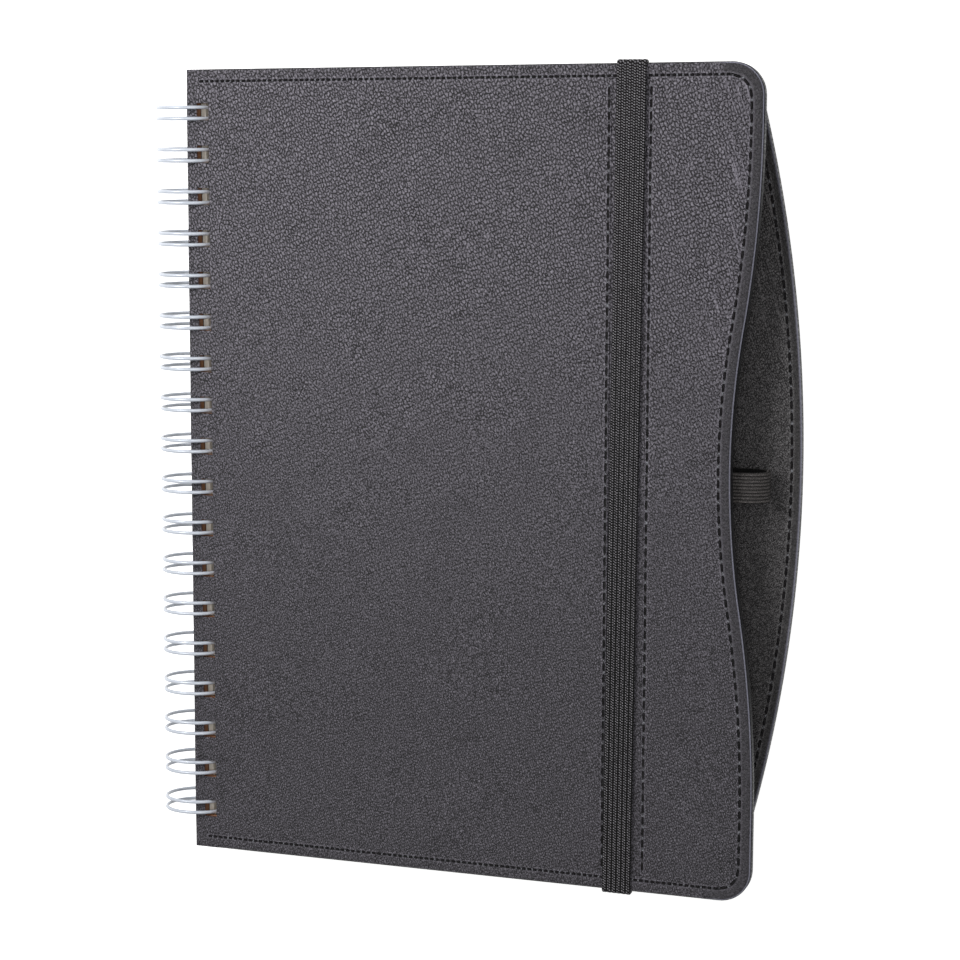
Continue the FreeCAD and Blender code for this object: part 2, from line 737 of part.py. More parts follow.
def wire_path():
    """The bends of the wire, loop after loop: out round one ring, across a tip and back round the
    next, then along a run to the loop beyond. A ring is a many-sided one, and a bend across has
    its corner cut off."""
    radius = amount(RING_RADIUS)
    twin = amount("Sizes.twin_spacing")
    pitch = amount("Sizes.loop_pitch")
    bend = amount("Sizes.bend_length")
    count = round(amount(LOOPS))
    run_angle = math.asin(amount(RUN_Z) / radius)
    tip_angle = run_angle + amount("Sizes.wire_diameter + Sizes.seam_gap") / radius
    first = run_angle - bend / radius
    last = tip_angle - 2 * math.pi + bend / radius

    def at(angle, y):
        return FreeCAD.Vector(radius * math.cos(angle), y, radius * math.sin(angle))

    def ring(y):
        step = (last - first) / RING_SIDES
        return [at(first + step * index, y) for index in range(RING_SIDES + 1)]

    path = []
    for index in range(count):
        middle = pitch * (index - (count - 1) / 2)
        low = middle - twin / 2
        high = middle + twin / 2
        if index > 0:
            path.append(at(run_angle, low - bend))
        path += ring(low)
        path += [at(tip_angle, low + bend), at(tip_angle, high - bend)]
        path += reversed(ring(high))
        if index < count - 1:
            path.append(at(run_angle, high + bend))
    return path


def mitred_bar(path, radius):
    """A six-sided bar along a path of straight stretches, mitred where it bends."""
    count = len(path)
    ways = [(path[i + 1] - path[i]).normalize() for i in range(count - 1)]
    side = ways[0].cross(FreeCAD.Vector(0, 1, 0)).normalize()
    across = ways[0].cross(side)
    ring = []
    for step in range(6):
        turn = math.radians(60 * step)
        ring.append(path[0] + side * (radius * math.cos(turn)) + across * (radius * math.sin(turn)))
    rings = [ring]
    for index in range(1, count):
        way = ways[index - 1]
        normal = way if index == count - 1 else (way + ways[index]).normalize()
        ring = [
            corner + way * ((path[index] - corner).dot(normal) / way.dot(normal))
            for corner in ring
        ]
        rings.append(ring)

    faces = [Part.Face(Part.makePolygon(end + end[:1])) for end in (rings[0], rings[-1])]
    for near, far in zip(rings, rings[1:]):
        for index in range(6):
            follower = (index + 1) % 6
            corners = [near[index], near[follower], far[follower], far[index], near[index]]
            faces.append(Part.Face(Part.makePolygon(corners)))
    shell = Part.makeShell(faces)
    shell.sewShape()
    return Part.makeSolid(shell)


def make_wire_binding():
    """The one wire that is bent to and fro into twin rings, with its corners on the round wire."""
    feature = doc.addObject("Part::Feature", "wire_binding")
    feature.Label = "wire_binding"
    feature.Shape = mitred_bar(wire_path(), amount("Sizes.wire_diameter / 2"))
    feature.Placement.Base = FreeCAD.Vector(amount(AXIS_X), 0, amount(AXIS_Z))
    return feature


# ---------------------------------------------------------------------------------------------
# Build, check and write
# ---------------------------------------------------------------------------------------------

pieces = [
    make_front_board(),
    make_front_main_panel(),
    make_front_center_strip(),
    make_front_side_panel(),
    make_front_lining(),
    make_elastic_band(),
    make_back_leather(),
    make_back_layer("back_board", LEATHER, "Sizes.board_thickness"),
    make_back_layer("back_lining", f"{LEATHER} + Sizes.board_thickness", LINING),
    make_pen_loop(),
    make_page_block(),
    make_wire_binding(),
]
doc.recompute()

for item in doc.Objects:
    if "Invalid" in item.State or "Error" in item.State:
        raise RuntimeError(f"{item.Name} failed: {item.State}")
for piece in pieces:
    shape = piece.Shape
    if shape.isNull() or not shape.isValid():
        raise RuntimeError(f"{piece.Label} has no valid shape")
    if len(shape.Solids) != 1:
        raise RuntimeError(f"{piece.Label} is {len(shape.Solids)} solids, not one")

os.makedirs("parts", exist_ok=True)
for piece in pieces:
    piece.Shape.exportStep(f"parts/{piece.Label}.step")
    box = piece.Shape.BoundBox
    print(
        f"{piece.Label:20} {piece.Shape.Volume:10.1f} mm3 "
        f"x {box.XMin:7.2f} {box.XMax:7.2f}  y {box.YMin:8.2f} {box.YMax:8.2f} "
        f"z {box.ZMin:6.2f} {box.ZMax:6.2f}"
    )
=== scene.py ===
# %% [markdown]
# # A wire-bound planner with stitched leather covers
# The planner is two leather-covered boards and a block of pages, all held by one long wire that is
# bent into eighteen pairs of rings. The solids of the boards, the pages and the front lining, and
# the room that everything else takes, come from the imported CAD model. This lesson dresses that
# model: it lays leather over the boards, sews it, draws a ribbed elastic round the front cover,
# stands a pen loop on the back one, and bends a round wire in place of the six-sided one.

import math

import bpy
import numpy as np
from mathutils import Matrix, Vector


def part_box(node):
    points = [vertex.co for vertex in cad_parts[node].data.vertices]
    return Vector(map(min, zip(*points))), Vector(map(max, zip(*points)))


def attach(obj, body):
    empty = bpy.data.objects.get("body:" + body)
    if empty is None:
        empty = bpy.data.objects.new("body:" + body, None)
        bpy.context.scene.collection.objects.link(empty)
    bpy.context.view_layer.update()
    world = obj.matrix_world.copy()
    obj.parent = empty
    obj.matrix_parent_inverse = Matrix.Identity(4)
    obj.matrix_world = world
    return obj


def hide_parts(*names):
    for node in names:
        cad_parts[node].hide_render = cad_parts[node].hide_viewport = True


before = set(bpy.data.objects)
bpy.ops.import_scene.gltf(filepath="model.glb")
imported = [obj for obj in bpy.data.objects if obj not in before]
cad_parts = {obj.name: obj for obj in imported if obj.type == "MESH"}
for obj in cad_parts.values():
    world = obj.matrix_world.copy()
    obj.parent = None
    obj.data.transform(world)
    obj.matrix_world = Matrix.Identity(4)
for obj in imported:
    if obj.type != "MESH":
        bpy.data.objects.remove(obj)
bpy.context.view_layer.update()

# %% [markdown]
# ## Places
# The corners of each CAD node are read from the model, and most places follow from them. What a
# node's corners don't tell, such as the radii of the edges, the pitch of the rings and the places
# of the holes, is given, and is the same as in the model. Lengths are in millimetres until a mesh
# is made. A cover has its own coordinates: u runs from the spine edge to the fore edge, and v from
# the middle of the planner towards its head.

# %% Read the places from the CAD nodes
MM = 0.001


def corners_of(node):
    """A CAD node's lowest and highest corner in millimetres."""
    return [np.array(corner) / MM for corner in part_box(node)]


main_low, main_high = corners_of("front_main_panel")
strip_high = corners_of("front_center_strip")[1]
side_low, side_high = corners_of("front_side_panel")
front_board_low, front_board_high = corners_of("front_board")
skin_low, skin_high = corners_of("back_leather")
back_lining_low, back_lining_high = corners_of("back_lining")
band_low, band_high = corners_of("elastic_band")
loop_low, loop_high = corners_of("pen_loop")
page_low, page_high = corners_of("page_block")
wire_low, wire_high = corners_of("wire_binding")

SPINE_X = main_low[0]
HALF_HEIGHT = main_high[1]
LEATHER = front_board_low[0] - SPINE_X
FRONT_TOP = main_high[2]
FRONT_UNDER = main_low[2]
COVER_WIDTH = side_high[0] - SPINE_X
MAIN_WIDTH = main_high[0] - SPINE_X
SIDE_START = side_low[0] - SPINE_X
TONGUE_REACH = skin_high[0] - SPINE_X - COVER_WIDTH
FORE_X = side_high[0]
CORNER = 9.5  # the radius of a cover's corner
STITCH = 3.45  # from one hole of a row to the next
LOOPS = 18
PITCH = 12.7
HOLE_U = (3.45, 7.77)  # the punched holes begin and end here
HOLE_HALF = 2.6  # half a hole's height
LEDGE = -0.35  # how far the leather's hole ends short of the board's
HOLES_V = PITCH * (np.arange(LOOPS) - (LOOPS - 1) / 2)
print("cover", round(COVER_WIDTH, 2), "x", round(2 * HALF_HEIGHT, 2), "mm")
print("tongue", round(TONGUE_REACH, 2), "mm beyond it")

# %% [markdown]
# ## Camera
# The camera stands on the fore-edge side of the planner, a little towards its head, and looks down
# on the front cover. It is placed first, because what is near it deserves the finest work.

# %% Place the camera
CAMERA_TARGET = np.array([FORE_X - 83.3, -0.2, FRONT_TOP])
CAMERA_TILT = math.radians(20.43)
CAMERA_AZIMUTH = math.radians(21.1)
CAMERA_ROLL = math.radians(0.17)
CAMERA_DISTANCE = 679.8
CAMERA_LENS = 86.3


def unit(vectors):
    """The vector, or each row of vectors, at a length of one."""
    return vectors / np.linalg.norm(vectors, axis=-1, keepdims=True)


def add_object(name, data):
    added = bpy.data.objects.new(name, data)
    bpy.context.scene.collection.objects.link(added)
    return added


def place_camera():
    """The line of sight leans from the vertical by the tilt, towards the azimuth, and the head of
    the planner is up, but for a small roll."""
    lean, turn = math.sin(CAMERA_TILT), CAMERA_AZIMUTH
    backwards = np.array(
        [lean * math.cos(turn), lean * math.sin(turn), math.cos(CAMERA_TILT)]
    )
    level = unit(np.cross([0, 1, 0], backwards))
    rightwards = level * math.cos(CAMERA_ROLL) + np.cross(backwards, level) * math.sin(CAMERA_ROLL)
    upwards = np.cross(backwards, rightwards)
    place = (CAMERA_TARGET + CAMERA_DISTANCE * backwards) * MM
    data = bpy.data.cameras.new("camera")
    data.lens = CAMERA_LENS
    data.sensor_width = 36
    data.clip_start = 0.01
    camera = add_object("camera", data)
    axes = Matrix(np.column_stack([rightwards, upwards, backwards]).tolist())
    camera.matrix_world = Matrix.Translation(Vector(place.tolist())) @ axes.to_4x4()
    bpy.context.scene.camera = camera


place_camera()

# %% [markdown]
# ## Shader maths as Python
# A procedural finish is mostly arithmetic on textures. The small class below holds one output
# socket, and writing a sum on it adds the Math node that works it out. Everything that isn't plain
# arithmetic comes from one method, node, which takes the node's type, its settings and its inputs.

# %% Define the shader helper


class Value:
    """One output of a node, on which arithmetic adds Math nodes to the same tree."""

    def __init__(self, tree, socket):
        self.tree = tree
        self.socket = socket

    def node(self, kind, settings=None, out=0, **inputs):
        return add_node(self.tree, kind, settings, out, **inputs)

    def math(self, operation, *others):
        values = {f"i{index}": other for index, other in enumerate((self, *others))}
        return self.node("ShaderNodeMath", {"operation": operation}, **values)

    def __add__(self, other):
        return self.math("ADD", other)

    def __sub__(self, other):
        return self.math("SUBTRACT", other)

    def __rsub__(self, other):
        return self.node("ShaderNodeMath", {"operation": "SUBTRACT"}, i0=other, i1=self)

    def __mul__(self, other):
        return self.math("MULTIPLY", other)

    def __truediv__(self, other):
        return self.math("DIVIDE", other)

    def over(self, low, high):
        """0 below low, 1 above high, and smooth between them."""
        smooth = {"interpolation_type": "SMOOTHSTEP"}
        return self.node("ShaderNodeMapRange", smooth, i0=self, i1=low, i2=high, i3=0.0, i4=1.0)

    def under(self, low, high):
        """1 below low, 0 above high, and smooth between them."""
        return 1.0 - self.over(low, high)

    def from_half(self):
        """How far a share is from one half, either way."""
        return (self - 0.5).math("ABSOLUTE")

    def wave(self):
        """The sine, drawn into the range from 0 to 1."""
        return self.math("SINE") * 0.5 + 0.5

    __radd__ = __add__
    __rmul__ = __mul__


def add_node(tree, kind, settings=None, out=0, **inputs):
    """Adds a node: its settings first, then its inputs, named by number as i0 or by word."""
    node = tree.nodes.new(kind)
    for key, setting in (settings or {}).items():
        setattr(node, key, setting)
    for key, given in inputs.items():
        if key[0] == "i" and key[1:].isdigit():
            socket = node.inputs[int(key[1:])]
        else:
            socket = node.inputs[key.replace("_", " ")]
        if isinstance(given, Value):
            tree.links.new(given.socket, socket)
        else:
            socket.default_value = given
    return Value(tree, node.outputs[out])


class Finish:
    """A material with one Principled shader, and words for what goes into it."""

    def __init__(self, name, **fixed):
        self.material = bpy.data.materials.new(name)
        self.material.use_nodes = True
        self.tree = self.material.node_tree
        self.shader = self.tree.nodes["Principled BSDF"]
        for key, number in fixed.items():
            self.shader.inputs[key.replace("_", " ")].default_value = number

    def node(self, kind, settings=None, out=0, **inputs):
        return add_node(self.tree, kind, settings, out, **inputs)

    def set(self, name, given):
        if isinstance(given, Value):
            self.tree.links.new(given.socket, self.shader.inputs[name])
        else:
            self.shader.inputs[name].default_value = given

    def place(self):
        """Object coordinates in millimetres."""
        coordinates = self.node("ShaderNodeTexCoord", out="Object")
        return self.scaled(coordinates, 1 / MM)

    def upward(self):
        """How much a face looks up or down, in the piece's own frame: 1 on a flat sheet."""
        return self.parts(self.node("ShaderNodeTexCoord", out="Normal"))[2].math("ABSOLUTE")

    def scaled(self, vector, scale):
        if not isinstance(scale, tuple):
            scale = (scale,) * 3
        return self.node("ShaderNodeVectorMath", {"operation": "MULTIPLY"}, i0=vector, i1=scale)

    def shifted(self, vector, other):
        return self.node("ShaderNodeVectorMath", {"operation": "ADD"}, i0=vector, i1=other)

    def parts(self, vector):
        node = self.node("ShaderNodeSeparateXYZ", i0=vector).socket.node
        return [Value(self.tree, socket) for socket in node.outputs]

    def noise(self, vector, scale, detail=2.0, rough=0.5):
        return self.node(
            "ShaderNodeTexNoise", Vector=vector, Scale=scale, Detail=detail, Roughness=rough
        )

    def wander(self, vector, scale, reach):
        """The vector, pushed about by a noise of the given scale and reach."""
        push = self.node("ShaderNodeTexNoise", out="Color", Vector=vector, Scale=scale, Detail=2.0)
        centred = self.shifted(push, (-0.5, -0.5, -0.5))
        return self.shifted(vector, self.scaled(centred, 2 * reach))

    def creases(self, vector, scale):
        """How far a place is from the nearest crease, where creases part flat cells."""
        settings = {"voronoi_dimensions": "2D", "feature": "DISTANCE_TO_EDGE"}
        return self.node(
            "ShaderNodeTexVoronoi", settings, Vector=vector, Scale=scale, Randomness=0.8
        )

    def blend(self, factor, first, second):
        """A colour between the first, where the factor is 0, and the second."""
        first, second = (
            colour if isinstance(colour, Value) else (*colour, 1.0) for colour in (first, second)
        )
        colours = {"data_type": "RGBA"}
        return self.node("ShaderNodeMix", colours, 2, i0=factor, i6=first, i7=second)

    def attribute(self, name):
        return self.node("ShaderNodeAttribute", {"attribute_name": name}, out="Fac")

    def mixed(self, colour, rough, height, depth_mm):
        """Gives the material, once its colour, its roughness and its bump are known."""
        depth = {"Strength": 1.0, "Distance": depth_mm * MM}
        self.set("Base Color", colour)
        self.set("Roughness", rough)
        self.set("Normal", self.node("ShaderNodeBump", out="Normal", Height=height, **depth))
        return self.material


# %% [markdown]
# ## Leather
# The covers are in a charcoal leather with a pebble grain, coarser towards the head than towards
# the tail. The borders between the cells of a Voronoi texture, pushed about by a noise so that no
# two are alike, are its creases, and they hold up at any distance. There are two sizes of cell:
# small ones everywhere, and big ones that are mixed in where the grain is coarse. The grain goes
# into the bump, into the colour, as painted shade in the creases and painted highlight on the
# tops, and into the roughness, because the tops are polished. Towards the head the tops are also
# painted lighter, a painted sheen.
#
# Three numbers stored at each point of a sheet tell the finish where it is: how far it is inside
# the outline, how far from the nearest row of stitches, and at which stitch of that row. So the
# same finish smooths the turned hem, paints a highlight along the rim, paints shade along each
# row, and pulls a pit in under every stitch, which is painted black as shade.

# %% Mix the leather
# The thread's own black, and painted shade in the pits under the stitches.
BLACK = (0.001, 0.001, 0.001)
# Painted shade: the near black of the walls that look sideways.
SHADED_WALL_LEATHER = (0.010, 0.010, 0.011)
CUT_BOARD = (0.17, 0.07, 0.04)
# Painted shade along each row of stitches.
ROW_SHADE = (0.006, 0.005, 0.006)
# Painted highlight: the pale blue line along the fore edge's rim.
RIM_HIGHLIGHT = (0.62, 0.62, 0.78)
# Painted highlight at the ends of the stitches.
STITCH_END_HIGHLIGHT = (0.30, 0.31, 0.34)
HALF_PIT = 0.72  # half the length of the pit under a stitch
HOLE_BAND = (2.4, 2.8, 8.4, 8.8)  # from the spine edge, where a cut wall shows the board
HOLE_ENDS = (114.0, 115.0)  # and how far along
FLOW_TURN = math.radians(-24)
STREAK_TURN = math.radians(-17)


def make_leather(name, tone, gain, fine, grain, polish, fold):
    """One bump, in millimetres: the sum of the grain, which climbs smoothly from each crease over
    a fixed share of a cell's width, a fine tooth, slow folds, drawn streaks, the pits at the
    stitches and the swell beside them. The colour runs from dark creases to light tops, which is
    painted shade and painted highlight of that relief, and the tops are gain times the tone where
    the grain is coarse, towards the head, against 3.9 times towards the tail; a gain above that
    paints a sheen on the head. fine is how fine the grain is, grain and fold are heights in the
    bump, and polish is the roughness of the tops."""
    leather = Finish(name, Specular_IOR_Level=0.22)
    place = leather.place()
    across, along, high = leather.parts(place)
    inside = leather.attribute("inside")
    patches = leather.noise(place, 0.06, 2.0)
    # coarse grows towards the head: it mixes in the big cells, and it also paints the tops lighter
    # there, a painted sheen.
    coarse = (along + patches * 120.0).over(-20.0, 150.0)
    flow = leather.node("ShaderNodeVectorRotate", i0=place, i3=FLOW_TURN)
    bent = leather.wander(leather.scaled(flow, (1.22 * fine, 0.84 * fine, 1.0)), 0.7, 0.35)
    big = leather.creases(bent, 0.9).over(0.0, 0.34)
    small = leather.creases(bent, 1.25).over(0.0, 0.45)
    tooth = (leather.noise(place, 1.8, 2.0, 0.85) - 0.5) * 3.4 + 0.5
    crease = leather.noise(leather.scaled(bent, (1.0, 0.3, 1.0)), 0.5, 3.0, 0.6)
    crack = leather.noise(leather.scaled(bent, (0.12, 0.55, 1.0)), 0.6, 2.0)
    crack = crack.from_half().under(0.0, 0.02) * patches.over(0.5, 0.62)
    fine_grain = small * 0.8 + 0.15
    pebble = fine_grain + (big - fine_grain) * (0.05 + coarse * 0.75)

    row = leather.attribute("row_gap")
    stitch = leather.attribute("row_stitch").math("FRACT")
    from_middle = stitch.from_half()
    past = (from_middle * STITCH - HALF_PIT).math("MAXIMUM", 0.0)
    pit = (row * row + past * past).math("SQRT").under(0.16, 0.46)
    # line darkens the colour along each row of stitches: painted shade in its groove.
    line = row.under(0.15, 0.6)
    swell = row.under(0.1, 1.2) * (1.0 - pit)
    from_fore = across - FORE_X
    fore = from_fore.over(-14.0, -10.0)
    hem = inside.under(3.2, 4.2) * (0.2 + 0.8 * fore)
    upward = leather.upward().over(0.3, 0.8)
    # Painted highlight along the rim of the fore edge, on faces that look up, weaker on the back
    # cover.
    rim = inside.under(0.15, 0.6) * upward * fore
    rim = rim * (0.3 + 0.7 * high.over(page_low[2], page_high[2]))
    # Painted highlight: a glint beside the ends of each stitch.
    ends = from_middle.over(0.34, 0.42) * row.under(0.1, 0.5)
    glint = ends * tooth.over(0.5, 0.8)

    turned = leather.node("ShaderNodeVectorRotate", i0=place, i3=STREAK_TURN)
    streak = leather.noise(leather.scaled(turned, (1.5, 0.09, 1.0)), 0.9, 2.0).over(0.5, 0.7)
    drawn = from_fore.over(-26.0, -8.0) * inside.under(5.0, 17.0) * (1.0 - hem)
    drawn = drawn * along.over(20.0, 65.0)
    level = pebble * grain + tooth * (grain * 0.4) + crease * fold
    level = level * (1.0 - hem * 0.4) + streak * drawn * 0.45
    level = level - pit * 0.5 + swell * 0.14

    # Painted sheen: the light tops are gain times the tone towards the head and 3.9 times towards
    # the tail.
    dark, faint, bold = (tuple(part * times for part in tone) for times in (0.2, 3.9, gain))
    light = leather.blend(coarse, faint, bold)
    # Painted shade and highlight: darker in the creases, folds and cracks, lighter on the tops of
    # the cells.
    shade = pebble * 0.85 + tooth * 0.85 - crease * 0.08 - 0.47 - crack * 0.3
    plain = (tooth * 0.32 + pebble * 0.06 - 0.02) / (1.0 + coarse * 0.8)
    # Painted highlight: the swell beside the rows and the drawn streaks lighten the colour.
    shade = shade * (1.0 - hem) + hem * plain + streak * drawn * 0.7 + swell * 0.4
    skin = leather.blend(shade, dark, light)
    rim_lit = leather.blend(rim * 0.85, skin, RIM_HIGHLIGHT)
    sewn = leather.blend(line * 0.8, rim_lit, ROW_SHADE)
    bright = leather.blend(glint * 0.8, sewn, STITCH_END_HIGHLIGHT)
    from_spine = across - SPINE_X
    at_holes = from_spine.over(*HOLE_BAND[:2]) * from_spine.under(*HOLE_BAND[2:])
    at_holes = at_holes * along.math("ABSOLUTE").under(*HOLE_ENDS)
    # Faces that look sideways are painted near black, a painted shade, except at the punched
    # holes, where the wall shows the brown board.
    wall = leather.blend(at_holes, SHADED_WALL_LEATHER, CUT_BOARD)
    cut = leather.blend(upward, wall, bright)
    rough = polish + 0.25 * (1.0 - pebble) + 0.15 * pit - rim * 0.08
    # The pits under the stitches are painted black: painted shade in the holes.
    return leather.mixed(leather.blend(pit, cut, BLACK), rough, level, 1.0)


cover_leather = make_leather(
    "charcoal_pebble_leather",
    tone=(0.047, 0.044, 0.051), gain=5.6, fine=1.0, grain=0.20, polish=0.34, fold=0.06,
)
inner_leather = make_leather(
    "black_inner_leather",
    tone=(0.046, 0.044, 0.045), gain=3.6, fine=1.4, grain=0.18, polish=0.42, fold=0.40,
)

# %% [markdown]
# ## Surfaces on a grid
# Every sheet here is a grid of points: columns along u, rows along v, and a height worked out for
# the whole grid at once. A sheet of leather over a board has two depths, a thin one over the board
# and a deep one at the edge where it is turned over, and it is punched. So each cell of the grid
# is empty, thin or deep, and walls stand wherever two neighbours differ.

# %% Build meshes from grids


def finish_mesh(name, points, faces, material, body, slot, sharp=50, uv=None, **attributes):
    """Makes a piece from points in millimetres and faces as rows of corner numbers."""
    mesh = bpy.data.meshes.new(name)
    mesh.from_pydata((np.asarray(points) * MM).tolist(), [], [list(face) for face in faces])
    mesh.validate()
    for key, numbers in attributes.items():
        layer = mesh.attributes.new(key, "FLOAT", "POINT")
        layer.data.foreach_set("value", np.asarray(numbers, np.float32).ravel())
    if uv is not None:
        layer = mesh.uv_layers.new(name="weave")
        corner = np.zeros(len(mesh.loops), np.int32)
        mesh.loops.foreach_get("vertex_index", corner)
        layer.data.foreach_set("uv", np.asarray(uv, np.float32)[corner].ravel())
    mesh.polygons.foreach_set("use_smooth", np.ones(len(mesh.polygons), bool))
    if sharp:
        mesh.set_sharp_from_angle(angle=math.radians(sharp))
    mesh.materials.append(material)
    piece = add_object(name, mesh)
    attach(piece, body)
    triangles = sum(len(face.vertices) - 2 for face in mesh.polygons)
    print(name, len(mesh.vertices), "points,", triangles, "triangles")
    return piece


def ruled(stops, step):
    """Lines through every stop, and between them at most step apart, where step is a number or
    depends on the place."""
    stops = np.unique(np.round(stops, 6))
    lines = [stops[:1]]
    for low, high in zip(stops[:-1], stops[1:]):
        spacing = step((low + high) / 2) if callable(step) else step
        count = max(1, math.ceil((high - low) / spacing - 1e-6))
        lines.append(np.linspace(low, high, count + 1)[1:])
    return np.concatenate(lines)


def layered_sheet(u, v, outer, thin, deep, kind, flip=False):
    """A sheet with a curved outer side and stepped inner sides.

    u, v and outer are grids. A cell of kind 1 is solid from outer to the height thin, and one of
    kind 2 from outer to the height deep. Returns points and faces that close the solid."""
    count = u.size
    number = np.arange(count).reshape(u.shape)
    levels = [outer, np.full(u.shape, thin), np.full(u.shape, deep)]
    points = np.concatenate(
        [np.column_stack([(u + SPINE_X).ravel(), v.ravel(), level.ravel()]) for level in levels]
    )
    here = number[:-1, :-1], number[1:, :-1], number[1:, 1:], number[:-1, 1:]
    faces = []

    def tiles(mask, level, upward):
        square = [part[mask] + level * count for part in here]
        faces.append(np.column_stack(square if upward else square[::-1]))

    tiles(kind > 0, 0, True)
    tiles(kind == 1, 1, False)
    tiles(kind == 2, 2, False)

    def walls(solid, top, bottom):
        padded = np.pad(solid, 1)
        left, right = padded[:-1, 1:-1], padded[1:, 1:-1]
        below, above = padded[1:-1, :-1], padded[1:-1, 1:]
        for near, far, first, second in (
            (left, right, number[:, :-1], number[:, 1:]),
            (above, below, number[:-1, :], number[1:, :]),
        ):
            for mask, outward in ((far & ~near, True), (near & ~far, False)):
                ends = first[mask], second[mask]
                wall = [end + top * count for end in ends]
                wall += [end + bottom * count for end in ends[::-1]]
                faces.append(np.column_stack(wall if outward else wall[::-1]))

    walls(kind > 0, 0, 1)
    walls(kind == 2, 1, 2)
    faces = np.concatenate(faces)
    if flip:
        faces = faces[:, ::-1]
    used, faces = np.unique(faces, return_inverse=True)
    return points[used], faces.reshape(-1, 4), used % count


# %% [markdown]
# ## The edges of the covers
# The front cover's fore edge is hollowed by an arc, with a wide shoulder arc at each end of it.
# The back cover's bulges past it in one long arc, so that its tongue shows. Both edges are written
# as a function: how far from the spine the edge is at each height v, drawn in by any inset.

# %% Work out the two fore edges
DIP_DEPTH = 7.9
DIP_LOW = CORNER + 18.75 - HALF_HEIGHT  # the shoulders end this far from the two corners
DIP_HIGH = HALF_HEIGHT - CORNER - 7.55
DIP_MIDDLE = (DIP_LOW + DIP_HIGH) / 2
DIP_HALF = (DIP_HIGH - DIP_LOW) / 2
DIP_RADIUS = 255.0
DIP_U = COVER_WIDTH - DIP_DEPTH + DIP_RADIUS
DIP_TO_EDGE = DIP_U - COVER_WIDTH
SHOULDER = (DIP_TO_EDGE**2 + DIP_HALF**2 - DIP_RADIUS**2) / (2 * (DIP_RADIUS - DIP_TO_EDGE))
TURN_AT = DIP_HALF * DIP_RADIUS / (DIP_RADIUS + SHOULDER)
TONGUE_RADIUS = 422.0
TONGUE_MIDDLE = 5.2
TONGUE_U = COVER_WIDTH + TONGUE_REACH - TONGUE_RADIUS


def root(number):
    return np.sqrt(np.maximum(number, 0))


def front_edge(v, inset=0.0):
    """Where the front cover's fore edge is: the hollow arc, the shoulder arcs, straight ends, and
    a quarter circle at each corner, each radius changed by the inset."""
    v = np.clip(v, inset - HALF_HEIGHT, HALF_HEIGHT - inset)
    from_middle = np.abs(v - DIP_MIDDLE)
    hollow_radius = DIP_RADIUS + inset
    shoulder_radius = SHOULDER - inset
    turn_at = TURN_AT * hollow_radius / DIP_RADIUS
    hollow = DIP_U - root(hollow_radius**2 - from_middle**2)
    shoulder = COVER_WIDTH - SHOULDER + root(
        shoulder_radius**2 - np.maximum(DIP_HALF - from_middle, 0) ** 2
    )
    edge = np.where(from_middle < turn_at, hollow, shoulder)
    past = np.maximum(np.abs(v) - (HALF_HEIGHT - CORNER), 0)
    return np.where(past > 0, COVER_WIDTH - CORNER + root((CORNER - inset) ** 2 - past**2), edge)


def back_edge(v, inset=0.0):
    """Where the back cover's fore edge is: one long arc that two corner arcs round off."""
    v = np.clip(v, inset - HALF_HEIGHT, HALF_HEIGHT - inset)
    radius = TONGUE_RADIUS - inset
    edge = TONGUE_U + root(radius**2 - (v - TONGUE_MIDDLE) ** 2)
    for side in (1, -1):
        corner_v = side * (HALF_HEIGHT - CORNER)
        reach = TONGUE_RADIUS - CORNER
        corner_u = TONGUE_U + root(reach**2 - (corner_v - TONGUE_MIDDLE) ** 2)
        turn_v = TONGUE_MIDDLE + (corner_v - TONGUE_MIDDLE) * radius / reach
        arc = corner_u + root((CORNER - inset) ** 2 - (v - corner_v) ** 2)
        edge = np.where(side * v > side * turn_v, arc, edge)
    return edge


def from_edge(u, v, edge):
    """How far a point lies inside a cover's outline, by its head, tail, spine and fore edges."""
    step = 0.05
    slope = (edge(v + step) - edge(v - step)) / (2 * step)
    fore = (edge(v) - u) / np.sqrt(1 + slope**2)
    inside = np.minimum(np.minimum(HALF_HEIGHT - np.abs(v), u), fore)
    corner_u = edge(np.where(v > 0, 1, -1) * (HALF_HEIGHT - 1e-6))
    past_u = u - corner_u
    past_v = np.abs(v) - (HALF_HEIGHT - CORNER)
    in_corner = (past_u > 0) & (past_v > 0)
    return np.where(in_corner, np.minimum(CORNER - np.hypot(past_u, past_v), u), inside)


print("front edge at its middle", round(float(front_edge(DIP_MIDDLE)), 2))
print("shoulder radius", round(SHOULDER, 1))

# %% [markdown]
# ## Where the seams run
# Thread holds the leather down a little inside the head, fore and tail edges, and along the two
# seams beside the elastic. A row of stitches is a line, cut into equal stitches from hole to hole.
# The rows along the head and the tail have stitches half as long as the others. They are worked
# out before the leather, because each one pulls a pit in it.

# %% Lay out the rows of stitches


def hem_rows(edge, inset):
    """The outline drawn in by the inset: a row along the tail, one up the fore edge with both its
    corners, and one along the head. The tail and the head have short stitches."""
    start = 4.2
    turn = np.linspace(-90, 90, 721)
    v = (HALF_HEIGHT - inset) * np.sin(np.radians(turn))
    fore = np.column_stack([edge(v, inset), v])
    tail = np.array([[start, inset - HALF_HEIGHT], fore[0]])
    head = np.array([fore[-1], [start, HALF_HEIGHT - inset]])
    return [holes_along(tail, STITCH / 2), holes_along(fore), holes_along(head, STITCH / 2)]


def holes_along(line, stitch=STITCH):
    """Points along a line, one stitch apart as near as the line's length allows."""
    steps = np.hypot(*np.diff(line, axis=0).T)
    length = np.concatenate([[0], np.cumsum(steps)])
    marks = np.linspace(0, length[-1], round(length[-1] / stitch) + 1)
    return np.column_stack([np.interp(marks, length, line[:, axis]) for axis in (0, 1)])


def seam_line(u):
    reach = HALF_HEIGHT - 6.2
    return np.array([[u, -reach], [u, reach]])


